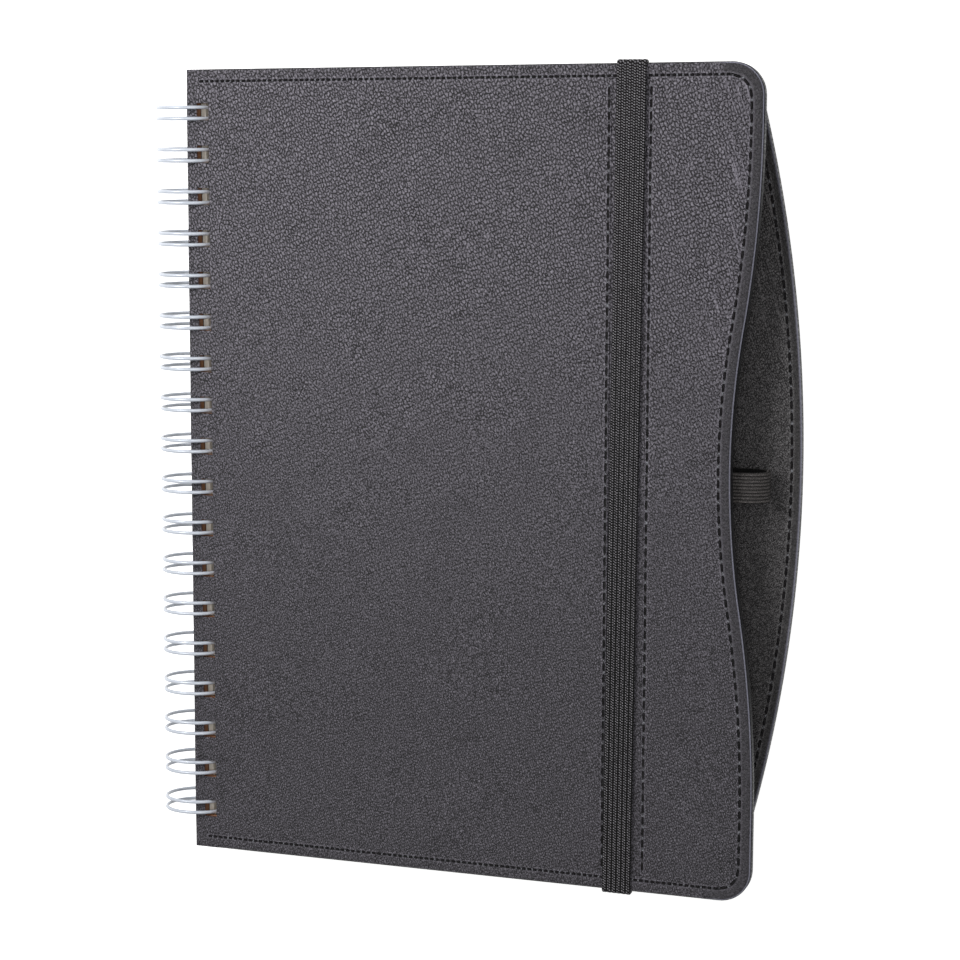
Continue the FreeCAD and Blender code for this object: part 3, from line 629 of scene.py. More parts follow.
HEM_INSET = 3.6
BACK_INSET = 2.9
LEFT_SEAM = MAIN_WIDTH - 0.8
RIGHT_SEAM = SIDE_START + 0.8
front_rows = [
    *hem_rows(front_edge, HEM_INSET),
    holes_along(seam_line(LEFT_SEAM)),
    holes_along(seam_line(RIGHT_SEAM)),
]
back_rows = hem_rows(back_edge, BACK_INSET)
print("holes in the rows:", [len(holes) for holes in front_rows + back_rows])

# %% [markdown]
# ## How the leather lies
# Four things shape its outer side: it rolls over at the edges, it sinks where it is sewn, it
# swells between the rows, and it is never quite flat. Each is a height in millimetres, and the
# surface is their sum.

# %% Define the relief of the leather


def rolled(inside, radius):
    """A quarter circle that takes the surface down at the edge."""
    left = np.clip(radius - inside, 0, radius)
    return radius - root(radius**2 - left**2)


def valley(distance, depth, half_width):
    return depth * np.exp(-((distance / half_width) ** 2))


def nearest_stitch(u, v, rows):
    """For every point, the distance from the nearest row of stitches, and the number of the stitch
    there, which grows steadily from hole to hole."""
    starts = np.concatenate([holes[:-1] for holes in rows])
    steps = np.concatenate([np.diff(holes, axis=0) for holes in rows])
    first = np.concatenate([np.arange(len(holes) - 1) for holes in rows])
    size = np.hypot(*steps.T)
    gap, number = np.empty(u.shape), np.empty(u.shape)
    for column in range(len(u)):
        from_u = u[column][:, None] - starts[:, 0]
        from_v = v[column][:, None] - starts[:, 1]
        share = np.clip((from_u * steps[:, 0] + from_v * steps[:, 1]) / size**2, 0, 1)
        away = np.hypot(from_u - share * steps[:, 0], from_v - share * steps[:, 1])
        best = away.argmin(axis=1)
        here = np.arange(len(best)), best
        gap[column] = away[here]
        number[column] = first[best] + share[here]
    return gap, number


def undulation(u, v, seed, size, height):
    """A sum of slow waves that run in all directions."""
    draw = np.random.default_rng(seed)
    total = np.zeros(np.shape(u))
    for _ in range(9):
        angle, phase = draw.uniform(0, 2 * math.pi, 2)
        length = size * draw.uniform(0.6, 1.7)
        along = u * math.cos(angle) + v * math.sin(angle)
        total += np.sin(2 * math.pi * along / length + phase)
    return total * height / 3


def from_spine_on(u):
    """0 at the spine edge, where the rows along the head and tail haven't begun, and then 1."""
    return np.clip((u - 2.2) / 2.5, 0, 1)


def pillow(past_row, height):
    """The leather's rise inside a row of stitches, as over a thin padding."""
    return height * (1 - np.exp(-((np.maximum(past_row, 0) / 4.5) ** 2)))


def front_relief(u, v):
    """The height of the front cover's leather against its flat top."""
    inside = from_edge(u, v, front_edge)
    spine_side = u < HEM_INSET + 4
    on_row = np.where(spine_side, HALF_HEIGHT - np.abs(v), inside)
    relief = -valley(on_row - HEM_INSET, 0.22, 1.0) * from_spine_on(u)
    sewn = np.abs(v) < HALF_HEIGHT - HEM_INSET
    for seam in (LEFT_SEAM, RIGHT_SEAM):
        relief = relief - np.where(sewn, valley(u - seam, 0.2, 0.8), 0)
    relief = relief + pillow(on_row - HEM_INSET, 0.14)
    relief = relief + undulation(u, v, 5, 42, 0.085) + undulation(u, v, 11, 13, 0.026)
    return relief - rolled(inside, np.where(spine_side, 0.6, 1.1)), inside


# %% [markdown]
# ## The front cover's leather
# Three pieces of leather make the front: a wide panel from the spine to the first seam, a narrow
# strip that the elastic lies on, and a panel out to the hollow edge. The wide panel and the strip
# are plain rectangles on the grid. The outer panel's columns are drawn along its curved edge, so
# that its cells follow the outline and its turned edge is one clean band.

# %% Cut, punch and turn the front panels
EDGE_STOPS = np.array([0, 0.05, 0.16, 0.34, LEATHER, 1.0, 1.3])
HOLE_EDGES = np.concatenate([HOLES_V - HOLE_HALF, HOLES_V + HOLE_HALF])
HEM_STOPS = [HALF_HEIGHT - HEM_INSET, HEM_INSET - HALF_HEIGHT]
BACK_STOPS = [HALF_HEIGHT - BACK_INSET, BACK_INSET - HALF_HEIGHT]
END_STOPS = np.concatenate([HALF_HEIGHT - EDGE_STOPS, EDGE_STOPS - HALF_HEIGHT])
ROW_STOPS = np.concatenate([END_STOPS, HOLE_EDGES, HEM_STOPS, BACK_STOPS])
CORNER_STOPS = HALF_HEIGHT - CORNER + CORNER * np.sin(np.radians(np.arange(0, 90, 7.5)))
BAND_SHARES = np.array([0.45, 0.74, 0.92, 1.0])
BAND_CELLS = len(BAND_SHARES)  # columns of cells in the turned band at a fore edge


def fine_near_edges(v):
    return 0.42 if abs(v) > HALF_HEIGHT - 6.5 else 1.3


def curved_rows():
    """The rows of a sheet with a curved fore edge, which are finer round its two corners."""
    return ruled(np.concatenate([ROW_STOPS, CORNER_STOPS, -CORNER_STOPS]), fine_near_edges)


def straight(columns, rows):
    """A grid's first columns, which are the same in every row."""
    return np.repeat(np.asarray(columns)[:, None], len(rows), axis=1)


def middles(lines):
    return (lines[:-1] + lines[1:]) / 2


def hole_rows(rows):
    """Which of the cells between the rows are level with a punched hole."""
    return np.abs(middles(rows)[:, None] - HOLES_V[None, :]).min(axis=1) < HOLE_HALF


def turned_cells(columns, rows):
    """A sheet's kinds of cell: deep at the head and tail, where it is turned over, else thin."""
    kind = np.ones((len(columns) - 1, len(rows) - 1), int)
    kind[:, np.abs(middles(rows)) > HALF_HEIGHT - LEATHER] = 2
    return kind


def inner_share(v):
    """0 on the hem at the head and tail, where no seam shows, and 1 inside its row of stitches."""
    return np.clip((HALF_HEIGHT - HEM_INSET - np.abs(v)) / 0.9, 0, 1)


def lay_leather(
    name, u, v, heights, kind, inside, rows,
    material=cover_leather, body="front_cover", slot="cover_leather", flip=False,
):
    """Makes a sheet from its grids and its three heights, outer, thin and deep. It stores the
    three numbers that the leather's finish reads at each point that the sheet kept."""
    points, faces, source = layered_sheet(u, v, *heights, kind, flip)
    gap, number = nearest_stitch(u, v, rows)
    stored = {
        key: grid.ravel()[source]
        for key, grid in (("inside", inside), ("row_gap", gap), ("row_stitch", number))
    }
    return finish_mesh(name, points, faces, material, body, slot, **stored)


# How far down the front's leather reaches: to the board's face, and where it is turned over, to
# the lining's.
FRONT_DEPTHS = (front_board_high[2] + 0.01, FRONT_UNDER)


def make_front_panel():
    hole_end, near_seam = HOLE_U[1] + LEDGE, 130.5
    stops = [*EDGE_STOPS, *HOLE_U, hole_end, near_seam, LEFT_SEAM, MAIN_WIDTH - 0.45]
    stops += [MAIN_WIDTH, MAIN_WIDTH - 0.05, MAIN_WIDTH - 0.2]
    columns = ruled(stops, lambda u: 0.32 if u > near_seam else 1.4)
    rows = ruled(ROW_STOPS, fine_near_edges)
    u, v = np.meshgrid(columns, rows, indexing="ij")
    relief, inside = front_relief(u, v)
    outer = FRONT_TOP + relief - 0.6 * rolled(MAIN_WIDTH - u, 0.6) * inner_share(v)
    middle_u = middles(columns)
    kind = turned_cells(columns, rows)
    kind[middle_u < LEATHER, :] = 2
    in_hole = (middle_u > HOLE_U[0]) & (middle_u < hole_end)
    kind[np.ix_(in_hole, hole_rows(rows))] = 0
    panel = lay_leather(
        "front_main_leather", u, v, (outer, *FRONT_DEPTHS), kind, inside, front_rows
    )
    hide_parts("front_main_panel")


def make_front_strip():
    """The strip lies a little lower, and small folds cross it where the elastic rubs."""
    columns = ruled([MAIN_WIDTH + 0.01, SIDE_START - 0.01], 0.6)
    rows = ruled(np.concatenate([END_STOPS, HEM_STOPS]), 0.9)
    u, v = np.meshgrid(columns, rows, indexing="ij")
    inside = HALF_HEIGHT - np.abs(v)
    outer = FRONT_TOP - (FRONT_TOP - strip_high[2]) * inner_share(v) - rolled(inside, 1.1)
    outer = outer - valley(inside - HEM_INSET, 0.2, 1.0) + undulation(u, v, 3, 9, 0.03)
    strip = lay_leather(
        "front_strip_leather", u, v, (outer, *FRONT_DEPTHS), turned_cells(columns, rows),
        np.minimum(inside, 2.2), front_rows[:3],
    )
    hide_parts("front_center_strip")


def fore_columns(v, start, edge, near, plain):
    """Columns from start to a curved edge: near gives distances from the edge for the closest
    ones, plain the number of even steps before them. The turned band keeps its width."""
    turned = np.where(
        np.abs(v) <= HALF_HEIGHT - LEATHER,
        edge(v, LEATHER),
        edge(v, LEATHER) - (np.abs(v) - (HALF_HEIGHT - LEATHER)),
    )
    rim = edge(v)
    share_near = 1 - np.asarray(near)[::-1] / (COVER_WIDTH - start - LEATHER)
    shares = np.concatenate([np.linspace(0, share_near[0], plain + 1)[:-1], share_near])
    inner = start + shares[:, None] * (turned - start)[None, :]
    band = turned + BAND_SHARES[:, None] * (rim - turned)
    return np.concatenate([inner, band])


def make_side_panel():
    rows = curved_rows()
    near = ruled([0, 0.3, 0.6, HEM_INSET - LEATHER, 6.0], 0.42)
    u = fore_columns(rows, SIDE_START, front_edge, near, 24)
    first = SIDE_START + np.array([0, 0.05, 0.2, 0.45, 0.8, 1.15, 1.5])
    u = np.concatenate([straight(first, rows), u[2:]])
    v = np.broadcast_to(rows, u.shape)
    relief, inside = front_relief(u, v)
    outer = FRONT_TOP + relief - 0.6 * rolled(u - SIDE_START, 0.6) * inner_share(v)
    kind = turned_cells(u, rows)
    kind[-BAND_CELLS:, :] = 2
    panel = lay_leather(
        "front_side_leather", u, v, (outer, *FRONT_DEPTHS), kind, inside, front_rows
    )
    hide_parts("front_side_panel")


make_front_panel()
make_front_strip()
make_side_panel()

# %% [markdown]
# ## The back cover's leather
# One skin covers the outside of the back board and is turned up over its edges. A second, smoother
# leather lines the inside and shows on the tongue beside the pen loop, where it is pulled into
# fine folds.

# %% Cut the back skin and the inner leather
SPINE_ZONE = 8  # this near the spine, only the head's and the tail's rows count


def make_back_skin():
    rows = curved_rows()
    near = ruled([0, 0.3, 0.6, BACK_INSET - LEATHER, 5.0], 0.5)
    curved = fore_columns(rows, HOLE_U[1] + 1.5, back_edge, near, 110)
    first = [*EDGE_STOPS, *np.linspace(1.9, HOLE_U[0], 3), *np.linspace(*HOLE_U, 6)[1:]]
    u = np.concatenate([straight(first, rows), curved])
    v = np.broadcast_to(rows, u.shape)
    inside = from_edge(u, v, back_edge)
    on_row = np.where(u < SPINE_ZONE, HALF_HEIGHT - np.abs(v), inside)
    relief = -valley(on_row - BACK_INSET, 0.28, 0.8) * from_spine_on(u)
    relief = relief + pillow(on_row - BACK_INSET, 0.1)
    relief = relief + undulation(u, v, 21, 44, 0.04) - rolled(inside, 1.2)
    outer = skin_low[2] - np.minimum(relief, 0.2)
    middle_u = middles(np.array(first))
    kind = turned_cells(u, rows)
    kind[np.flatnonzero(middle_u < LEATHER), :] = 2
    kind[-BAND_CELLS:, :] = 2
    in_hole = np.flatnonzero((middle_u > HOLE_U[0]) & (middle_u < HOLE_U[1]))
    kind[np.ix_(in_hole, hole_rows(rows))] = 0
    heights = outer, skin_low[2] + LEATHER - 0.01, skin_high[2]
    skin = lay_leather(
        "back_outer_leather", u, v, heights, kind, inside, back_rows, body="back_cover", flip=True
    )
    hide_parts("back_leather")


def loop_folds(u, v):
    """Folds that fan out from the pen loop: a wave round its middle, dying away from it."""
    centre_u = (loop_low[0] + loop_high[0]) / 2 - SPINE_X + 2
    centre_v = (loop_low[1] + loop_high[1]) / 2
    away_u, away_v = u - centre_u, v - centre_v
    angle = np.arctan2(away_v, away_u)
    reach = np.hypot(away_u / 1.1, away_v)
    fan = np.sin(17 * angle + 2.5 * np.sin(3 * angle)) + 0.6 * np.sin(31 * angle + 1.3)
    return 0.055 * fan * np.exp(-((reach - 11) ** 2) / 110) * (reach > 4)


def make_inner_leather():
    rows = curved_rows()
    rows = rows[np.abs(rows) <= HALF_HEIGHT - LEATHER + 1e-6]
    shares = np.concatenate([np.linspace(0, 0.42, 46)[:-1], np.linspace(0.42, 0.89, 30)[:-1]])
    shares = np.concatenate([shares, np.linspace(0.89, 1, 56)])
    start = HOLE_U[1]
    fore = back_edge(rows, LEATHER)
    u = start + shares[:, None] * (fore - start)[None, :]
    u = np.concatenate([straight([LEATHER, 1.6, 2.6, HOLE_U[0], 5.2, 6.5], rows), u])
    v = np.broadcast_to(rows, u.shape)
    inside = from_edge(u, v, back_edge)
    on_row = np.where(u < SPINE_ZONE, HALF_HEIGHT - np.abs(v), inside)
    relief = -valley(on_row - BACK_INSET, 0.2, 0.7) * from_spine_on(u)
    relief = relief + loop_folds(u, v) * np.clip((inside - 3.6) / 3, 0, 1)
    outer = back_lining_high[2] + np.minimum(relief, 0.08) - 0.02
    kind = np.ones((u.shape[0] - 1, u.shape[1] - 1), int)
    kind[3:6, hole_rows(rows)] = 0
    lining = lay_leather(
        "back_inner_leather", u, v, (outer, back_lining_low[2], back_lining_low[2]), kind,
        inside + 1.5, back_rows, inner_leather, "back_cover", "lining",
    )
    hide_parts("back_lining")


make_back_skin()
make_inner_leather()

# %% [markdown]
# ## Thread
# A lockstitch shows as a short rise of thread between two holes. Each stitch is a thin bent bar
# with a few dozen faces, and all of a cover's stitches are one mesh, made by carrying the same bar
# to every pair of holes of a row at once.

# %% Sew the rows


def make_thread_finish():
    """Waxed black thread, uneven along its length, with a soft shine."""
    thread = Finish("black_waxed_thread", Specular_IOR_Level=0.12)
    place = thread.place()
    ply = thread.noise(thread.wander(place, 2.0, 0.3), 5.5, 2.0)
    colour = thread.blend(ply, BLACK, (0.010, 0.009, 0.010))
    return thread.mixed(colour, 0.4 + 0.2 * ply, ply, 0.05)


thread_finish = make_thread_finish()


def stitch_bars(holes, level, outward, radius=0.26, share=0.62, dive=0.4):
    """Bars between neighbouring holes, over the given share of each gap, for leather closes over
    the rest. Along a bar the height falls by dive times the sixth power of the distance from its
    middle, and the bar thins towards its ends."""
    start, end = holes[:-1], holes[1:]
    along = np.linspace(-1, 1, 9)
    sides = np.linspace(0, 2 * math.pi, 6, endpoint=False)
    middle = (start + end) / 2
    half = (end - start) / 2 * share
    length = np.hypot(*half.T)
    tangent = half / length[:, None]
    normal = np.column_stack([-tangent[:, 1], tangent[:, 0]])
    centre = middle[:, None, :] + half[:, None, :] * along[None, :, None]
    height = -dive * along**6
    thick = radius * (1 - 0.6 * along**4)
    ring_side = thick[None, :, None] * np.cos(sides)[None, None, :]
    ring_up = height[None, :, None] + thick[None, :, None] * np.sin(sides)[None, None, :]
    across = centre[:, :, None, :] + ring_side[..., None] * normal[:, None, None, :]
    up = np.broadcast_to(level + outward * ring_up, across.shape[:3])
    points = np.concatenate([across, up[..., None]], axis=3).reshape(-1, 3)
    points[:, 0] += SPINE_X
    bars, rings, around = len(middle), len(along), len(sides)
    number = np.arange(bars * rings * around).reshape(bars, rings, around)
    a, b = number[:, :-1, :], number[:, 1:, :]
    quads = np.stack([a, b, np.roll(b, -1, 2), np.roll(a, -1, 2)], axis=-1).reshape(-1, 4)
    caps = [number[:, 0, :], number[:, -1, ::-1]]
    if outward > 0:
        quads = quads[:, ::-1]
        caps = [cap[:, ::-1] for cap in caps]
    faces = [row.tolist() for row in quads]
    for cap in caps:
        faces += cap.reshape(-1, around)[:, ::-1].tolist()
    return points, faces


def sew(name, body, rows):
    """Joins the bars of several rows, each given as its holes, its level and its outward side."""
    points, faces, shift = [], [], 0
    for holes, level, outward in rows:
        row_points, row_faces = stitch_bars(holes, level, outward)
        faces += [[corner + shift for corner in face] for face in row_faces]
        shift += len(row_points)
        points.append(row_points)
    return finish_mesh(
        name, np.concatenate(points), faces, thread_finish, body, "cover_leather", sharp=0
    )


sew(
    "front_stitches",
    "front_cover",
    [(row, FRONT_TOP - 0.24, 1) for row in front_rows]
    + [(row, FRONT_UNDER + 0.22, -1) for row in front_rows[:3]],
)
sew(
    "back_stitches",
    "back_cover",
    [(row, back_lining_high[2] - 0.20, 1) for row in back_rows]
    + [(row, skin_low[2] + 0.25, -1) for row in back_rows],
)

# %% [markdown]
# ## Profiles carried along a path
# The elastic, the pen loop and the wire are one cross-section carried along a line. The helper
# takes the line's points, the two directions that the section is drawn in at each of them, and
# the section's points, and gives the grid in one array sum.

# %% Carry a profile along a path


def carry(path, across, outward, profile, closed):
    """Point = path + profile x times across + profile y times outward, for every pair."""
    points = (
        path[:, None, :]
        + profile[None, :, :1] * across[:, None, :]
        + profile[None, :, 1:] * outward[:, None, :]
    )
    rings, around = points.shape[:2]
    number = np.arange(rings * around).reshape(rings, around)
    after = np.roll(number, -1, 0) if closed else number[1:]
    before = number if closed else number[:-1]
    quads = np.stack(
        [before, np.roll(before, -1, 1), np.roll(after, -1, 1), after], axis=-1
    ).reshape(-1, 4)
    return points.reshape(-1, 3), quads, number


def lengths(path):
    """How far along the path each of its points lies."""
    steps = np.linalg.norm(np.diff(path, axis=0), axis=1)
    return np.concatenate([[0], np.cumsum(steps)])


def without_repeats(route, least):
    """The route without the points that lie nearer than least to the one before."""
    steps = np.linalg.norm(np.diff(route, axis=0), axis=1)
    return route[np.concatenate([[True], steps > least])]


# %% [markdown]
# ## The elastic band
# It is a woven elastic with six ribs. Its section is a flat base with six rounded ribs on top, and
# its path goes from between the lining and the board, round the head edge, down the front, round
# the tail edge and in again. Each rib is two plies of yarn, and their turns show as two staggered
# columns of short light strokes. The strokes of each rib also start a little later than those of
# the rib before it, so that they don't line up into stripes across the band.

# %% Weave the elastic


def make_elastic_finish(name, rib, light, yarn_size, ribbing, twist):
    """Each rib is two plies twisted together, which show as two staggered columns of short yarns.
    The piece's own map gives millimetres along it and across it, less than 0 on the inner side.
    The grooves between the ribs are deeper towards the tail, where the band is drawn tighter."""
    cloth = Finish(name, Specular_IOR_Level=0.12)
    weave = cloth.node("ShaderNodeUVMap", {"uv_map": "weave"})
    place = cloth.place()
    along, across, _ = cloth.parts(weave)
    share = (across / rib).math("FRACT")
    ply = share * 2.0
    in_ply = ply.math("FRACT")
    rib_number = (across / rib).math("FLOOR")
    stagger = ply.math("FLOOR") * 0.5 + in_ply * 0.3 + rib_number * 0.37
    drift = cloth.noise(place, 0.9, 2.0)
    turn = (along - stagger * yarn_size + drift * 0.2) * (2 * math.pi / yarn_size)
    strand = (in_ply * math.pi).math("SINE").over(0.0, 0.8)
    yarn = turn.wave() * (0.4 + strand * 0.6)
    fuzz = cloth.noise(place, 3.0, 3.0, 0.7)
    depth = 1.0 - cloth.parts(place)[1].over(-60.0, 100.0) * 0.45
    off = share.from_half()
    groove = 1.0 - off.over(0.5 - ribbing, 0.5 - ribbing * 0.4) * depth
    level = (yarn * 0.24 + strand * 0.08 + fuzz * 0.1) * (0.3 + 0.7 * groove)
    level = level + groove * ribbing * 0.6
    shade = yarn.over(0.35, 0.85) * twist + (1.0 - twist) * strand
    # Painted shade: the colour is darker in the grooves, more so towards the tail, and near black
    # on the inner side, as the shade inside the loop.
    shade = shade * (fuzz * 3.0 - 0.8) * groove
    shade = shade * across.over(-0.9, -0.6) * (0.9 + depth * 0.3)
    colour = cloth.blend(shade, (0.003, 0.003, 0.003), light)
    return cloth.mixed(colour, 0.5 + 0.3 * (1.0 - yarn), level, 1.0)


BAND_WIDTH = 8.6
BAND_THICK = 0.9
BAND_RIBS = 6
BAND_LEAN = math.tan(math.radians(0.49))
BAND_MIDDLE = (band_low[0] + band_high[0]) / 2
BAND_RUN = 161  # points of the band's path along the front
band_finish = make_elastic_finish(
    "ribbed_woven_elastic", BAND_WIDTH / BAND_RIBS,
    light=(0.38, 0.365, 0.39), yarn_size=0.785, ribbing=0.3, twist=1.0,
)


def ribbed_section(width, thick, ribs, depth, samples=8):
    """Across is x. The outer side is a row of half waves, |sin| to a power below one, which makes
    round ribs with narrow grooves, and the inner side is flat."""
    x = np.linspace(-width / 2, width / 2, ribs * samples + 1)
    wave = np.abs(np.sin(math.pi * (x + width / 2) * ribs / width)) ** 0.55
    top = thick / 2 - depth * (1 - wave)
    edge = np.clip((width / 2 - np.abs(x)) / 0.3, 0, 1)
    top = np.minimum(top, thick / 2 - 0.25 * (1 - edge) ** 2)
    outer = np.column_stack([x, top])
    near = width / 2 - 0.1
    back = np.concatenate([[width / 2], np.linspace(near, -near, 7), [-width / 2]])
    inner = np.column_stack([back, np.full(len(back), -thick / 2)])
    return np.concatenate([outer, inner])


def section_map(section, rib):
    """Millimetres across the outer side, and -1 on the inner one but for its two corners."""
    across = section[:, 0] - section[0, 0]
    inner = np.flatnonzero(section[:, 1] == section[:, 1].min())
    across[inner] = -1.0
    across[inner[0]], across[inner[-1]] = across.max() - rib / 2, rib / 2
    return across


def weave_map(path, section, rib):
    """The piece's own map: millimetres along the path, and millimetres across the section."""
    grids = np.broadcast_arrays(lengths(path)[:, None], section_map(section, rib)[None, :])
    return np.stack(grids, axis=-1).reshape(-1, 2)


def band_path():
    """Straight runs joined by quarter circles, in the plane of v and height."""
    tuck = 18.0
    turn = 0.8
    edge_gap = 0.1
    out_v = HALF_HEIGHT + edge_gap + BAND_THICK / 2
    low_z = front_board_low[2] + BAND_THICK / 2
    top_z = FRONT_TOP + BAND_THICK / 2 + 0.01
    angles = np.radians(np.linspace(0, 90, 8))
    quarter = np.column_stack([np.sin(angles), 1 - np.cos(angles)]) * turn
    under_v = np.linspace(HALF_HEIGHT - tuck, out_v - turn, 12)
    under = np.column_stack([under_v, np.full(12, low_z)])
    first = np.array([out_v - turn, low_z]) + quarter
    second = np.array([out_v, top_z - turn]) + quarter[:, ::-1] * np.array([-1, 1])
    top_v = np.linspace(out_v - turn, turn - out_v, BAND_RUN)
    top = np.column_stack([top_v, np.full(BAND_RUN, top_z)])
    half = np.concatenate([under[:-1], first, second, top[1 : BAND_RUN // 2 + 1]])
    mirror = half[::-1] * np.array([-1, 1])
    return np.concatenate([half, mirror[1:]])


def make_band():
    route = without_repeats(band_path(), 1e-4)
    slope = unit(np.gradient(route, axis=0))
    path = np.column_stack([BAND_MIDDLE + route[:, 0] * BAND_LEAN, route[:, 0], route[:, 1]])
    across = np.broadcast_to(unit(np.array([1.0, -BAND_LEAN, 0.0])), path.shape)
    outward = np.column_stack([np.zeros(len(route)), slope[:, 1], -slope[:, 0]])
    section = ribbed_section(BAND_WIDTH, BAND_THICK, BAND_RIBS, 0.14)
    points, quads, number = carry(path, across, outward, section, closed=False)
    faces = quads.tolist() + [number[0, ::-1].tolist(), number[-1].tolist()]
    uv = weave_map(path, section, BAND_WIDTH / BAND_RIBS)
    band = finish_mesh(
        "elastic_band_woven", points, faces, band_finish, "front_cover", "elastic", 60, uv
    )
    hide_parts("elastic_band")


make_band()

# %% [markdown]
# ## The pen loop
# It is a short piece of the same kind of elastic, with nine ribs, sewn to the tongue so that it
# stands as a flattened tube. Its path is a superellipse, rounder than a box and squarer than an
# ellipse, and it lies on the leather.

# %% Weave the pen loop
LOOP_WALL = 1.1
LOOP_RIBS = 9
LOOP_HEIGHT = loop_high[1] - loop_low[1]
LOOP_LEAN = 0.6  # how far the upper side leans back from the head
LOOP_RISE = 0.85  # how much nearer the head it sits than the solid
LOOP_POINTS = 96
LOOP_POWER = 2.7  # 2 would be an ellipse
loop_finish = make_elastic_finish(
    "ribbed_loop_elastic", LOOP_HEIGHT / LOOP_RIBS,
    light=(0.40, 0.37, 0.36), yarn_size=0.5, ribbing=0.5, twist=0.3,
)


def make_pen_loop():
    middle = (loop_low + loop_high) / 2
    half = (loop_high - loop_low) / 2 - np.array([LOOP_WALL / 2, 0, LOOP_WALL / 2])
    angle = np.linspace(0, 2 * math.pi, LOOP_POINTS, endpoint=False)
    x, z = (
        np.sign(wave) * np.abs(wave) ** (2 / LOOP_POWER) for wave in (np.cos(angle), np.sin(angle))
    )
    lean = LOOP_LEAN * (1 + z) / 2
    path = np.column_stack(
        [middle[0] + half[0] * x, middle[1] + LOOP_RISE - lean, middle[2] + half[2] * z]
    )
    slope = unit(np.roll(path, -1, 0) - np.roll(path, 1, 0))
    across = np.broadcast_to(np.array([0.0, 1.0, 0.0]), path.shape)
    outward = np.column_stack([slope[:, 2], np.zeros(LOOP_POINTS), -slope[:, 0]])
    section = ribbed_section(LOOP_HEIGHT, LOOP_WALL, LOOP_RIBS, 0.32, 6)
    points, quads, _ = carry(path, across, outward, section, closed=True)
    uv = weave_map(path, section, LOOP_HEIGHT / LOOP_RIBS)
    loop = finish_mesh(
        "pen_loop_woven", points, quads[:, ::-1], loop_finish, "back_cover", "elastic", 60, uv
    )
    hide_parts("pen_loop")


make_pen_loop()

# %% [markdown]
# ## The wire
# The binding is one wire. It goes round a ring, turns across a tip, comes back round the next
# ring, and runs on to the next pair. Its line is worked out ring by ring as angles and heights,
# rounded at each turn, and a circle is carried along it. The rings lean a little, those at the
# head one way and those at the tail the other, as far as the holes allow. The coat is pale and
# slightly glossy.

# %% Bend the wire
WIRE_RADIUS = 0.55
RING_REACH = (wire_high[2] - wire_low[2]) / 2
RING_X = wire_low[0] + RING_REACH
RING_Z = (wire_low[2] + wire_high[2]) / 2
RING_RADIUS = RING_REACH - WIRE_RADIUS
TWIN = 3.36  # between the two rings of a pair
TURN = 1.3  # the radius of a bend between a ring and a run
TIP_GAP = 0.4  # between a tip and the runs it closes against
PAGE_GAP = 0.15  # between the runs and the pages
ARC_POINTS = 49
RING_LEAN = 0.045  # of a ring's height, at the head and tail


def make_wire_finish():
    """A pale coat over metal: bright and a little uneven."""
    coat = Finish("pale_coated_wire", Metallic=0.12, Specular_IOR_Level=0.4, Coat_Weight=0.12)
    place = coat.place()
    uneven = coat.noise(place, 0.8, 3.0, 0.6)
    colour = coat.blend(uneven, (0.50, 0.55, 0.63), (0.68, 0.71, 0.77))
    return coat.mixed(colour, 0.24 + 0.14 * uneven, coat.noise(place, 2.4, 2.0), 0.02)


def wire_route():
    """(distance round the ring, height) along the wire, with a quarter circle at every turn."""
    run_angle = math.asin((page_low[2] + PAGE_GAP + WIRE_RADIUS - RING_Z) / RING_RADIUS)
    tip_angle = run_angle + (2 * WIRE_RADIUS + TIP_GAP) / RING_RADIUS
    start, stop = run_angle * RING_RADIUS, (tip_angle - 2 * math.pi) * RING_RADIUS
    bend = np.radians(np.linspace(0, 90, 7))
    arcs = np.linspace(start - TURN, stop + TURN, ARC_POINTS)
    low = -TWIN / 2
    down = np.column_stack([arcs, np.full(ARC_POINTS, low)])
    along, aside = TURN * (1 - np.sin(bend)), TURN * (1 - np.cos(bend))
    enter = np.column_stack([start - aside, low - along])[:-1]
    tip = np.column_stack([stop + along, low + aside])
    ring = np.concatenate([enter, down, tip[1:]])
    pair = np.concatenate([ring, ring[::-1] * np.array([1, -1])])
    loops = [pair + np.array([0, middle]) for middle in HOLES_V]
    loops[0] = loops[0][len(enter) :]
    loops[-1] = loops[-1][: len(loops[-1]) - len(enter)]
    return np.concatenate(loops)


def make_wire():
    route = without_repeats(wire_route(), 1e-3)
    angle = route[:, 0] / RING_RADIUS
    radial = np.column_stack([np.cos(angle), np.zeros(len(angle)), np.sin(angle)])
    path = radial * RING_RADIUS + np.column_stack(
        [np.full(len(angle), RING_X), route[:, 1], np.full(len(angle), RING_Z)]
    )
    path[:, 1] -= RING_LEAN * path[:, 1] / HALF_HEIGHT * (path[:, 2] - RING_Z)
    slope = unit(np.gradient(path, axis=0))
    side = unit(np.cross(slope, radial))
    outward = np.cross(side, slope)
    turn = np.linspace(0, 2 * math.pi, 10, endpoint=False)
    circle = WIRE_RADIUS * np.column_stack([np.cos(turn), np.sin(turn)])
    points, quads, number = carry(path, side, outward, circle, closed=False)
    faces = quads[:, ::-1].tolist() + [number[0].tolist(), number[-1, ::-1].tolist()]
    wire = finish_mesh(
        "twin_loop_wire", points, faces, make_wire_finish(), "spine", "coated_wire", sharp=0
    )
    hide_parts("wire_binding")
    print("wire length in metres:", round(float(lengths(path)[-1]) * MM, 2))


make_wire()

# %% [markdown]
# ## Boards, lining and pages
# These solids keep their CAD shape and get a finish. The boards are pressed brown fibre that shows
# in the punched holes. The front lining is a thin woven sheet. The pages are one block, so their
# separate sheets are drawn on its edges as fine darker lines that wander a little, painted shade
# between the sheets, and its two faces have the pale rules of a planner.

# %% Finish the CAD nodes that stay


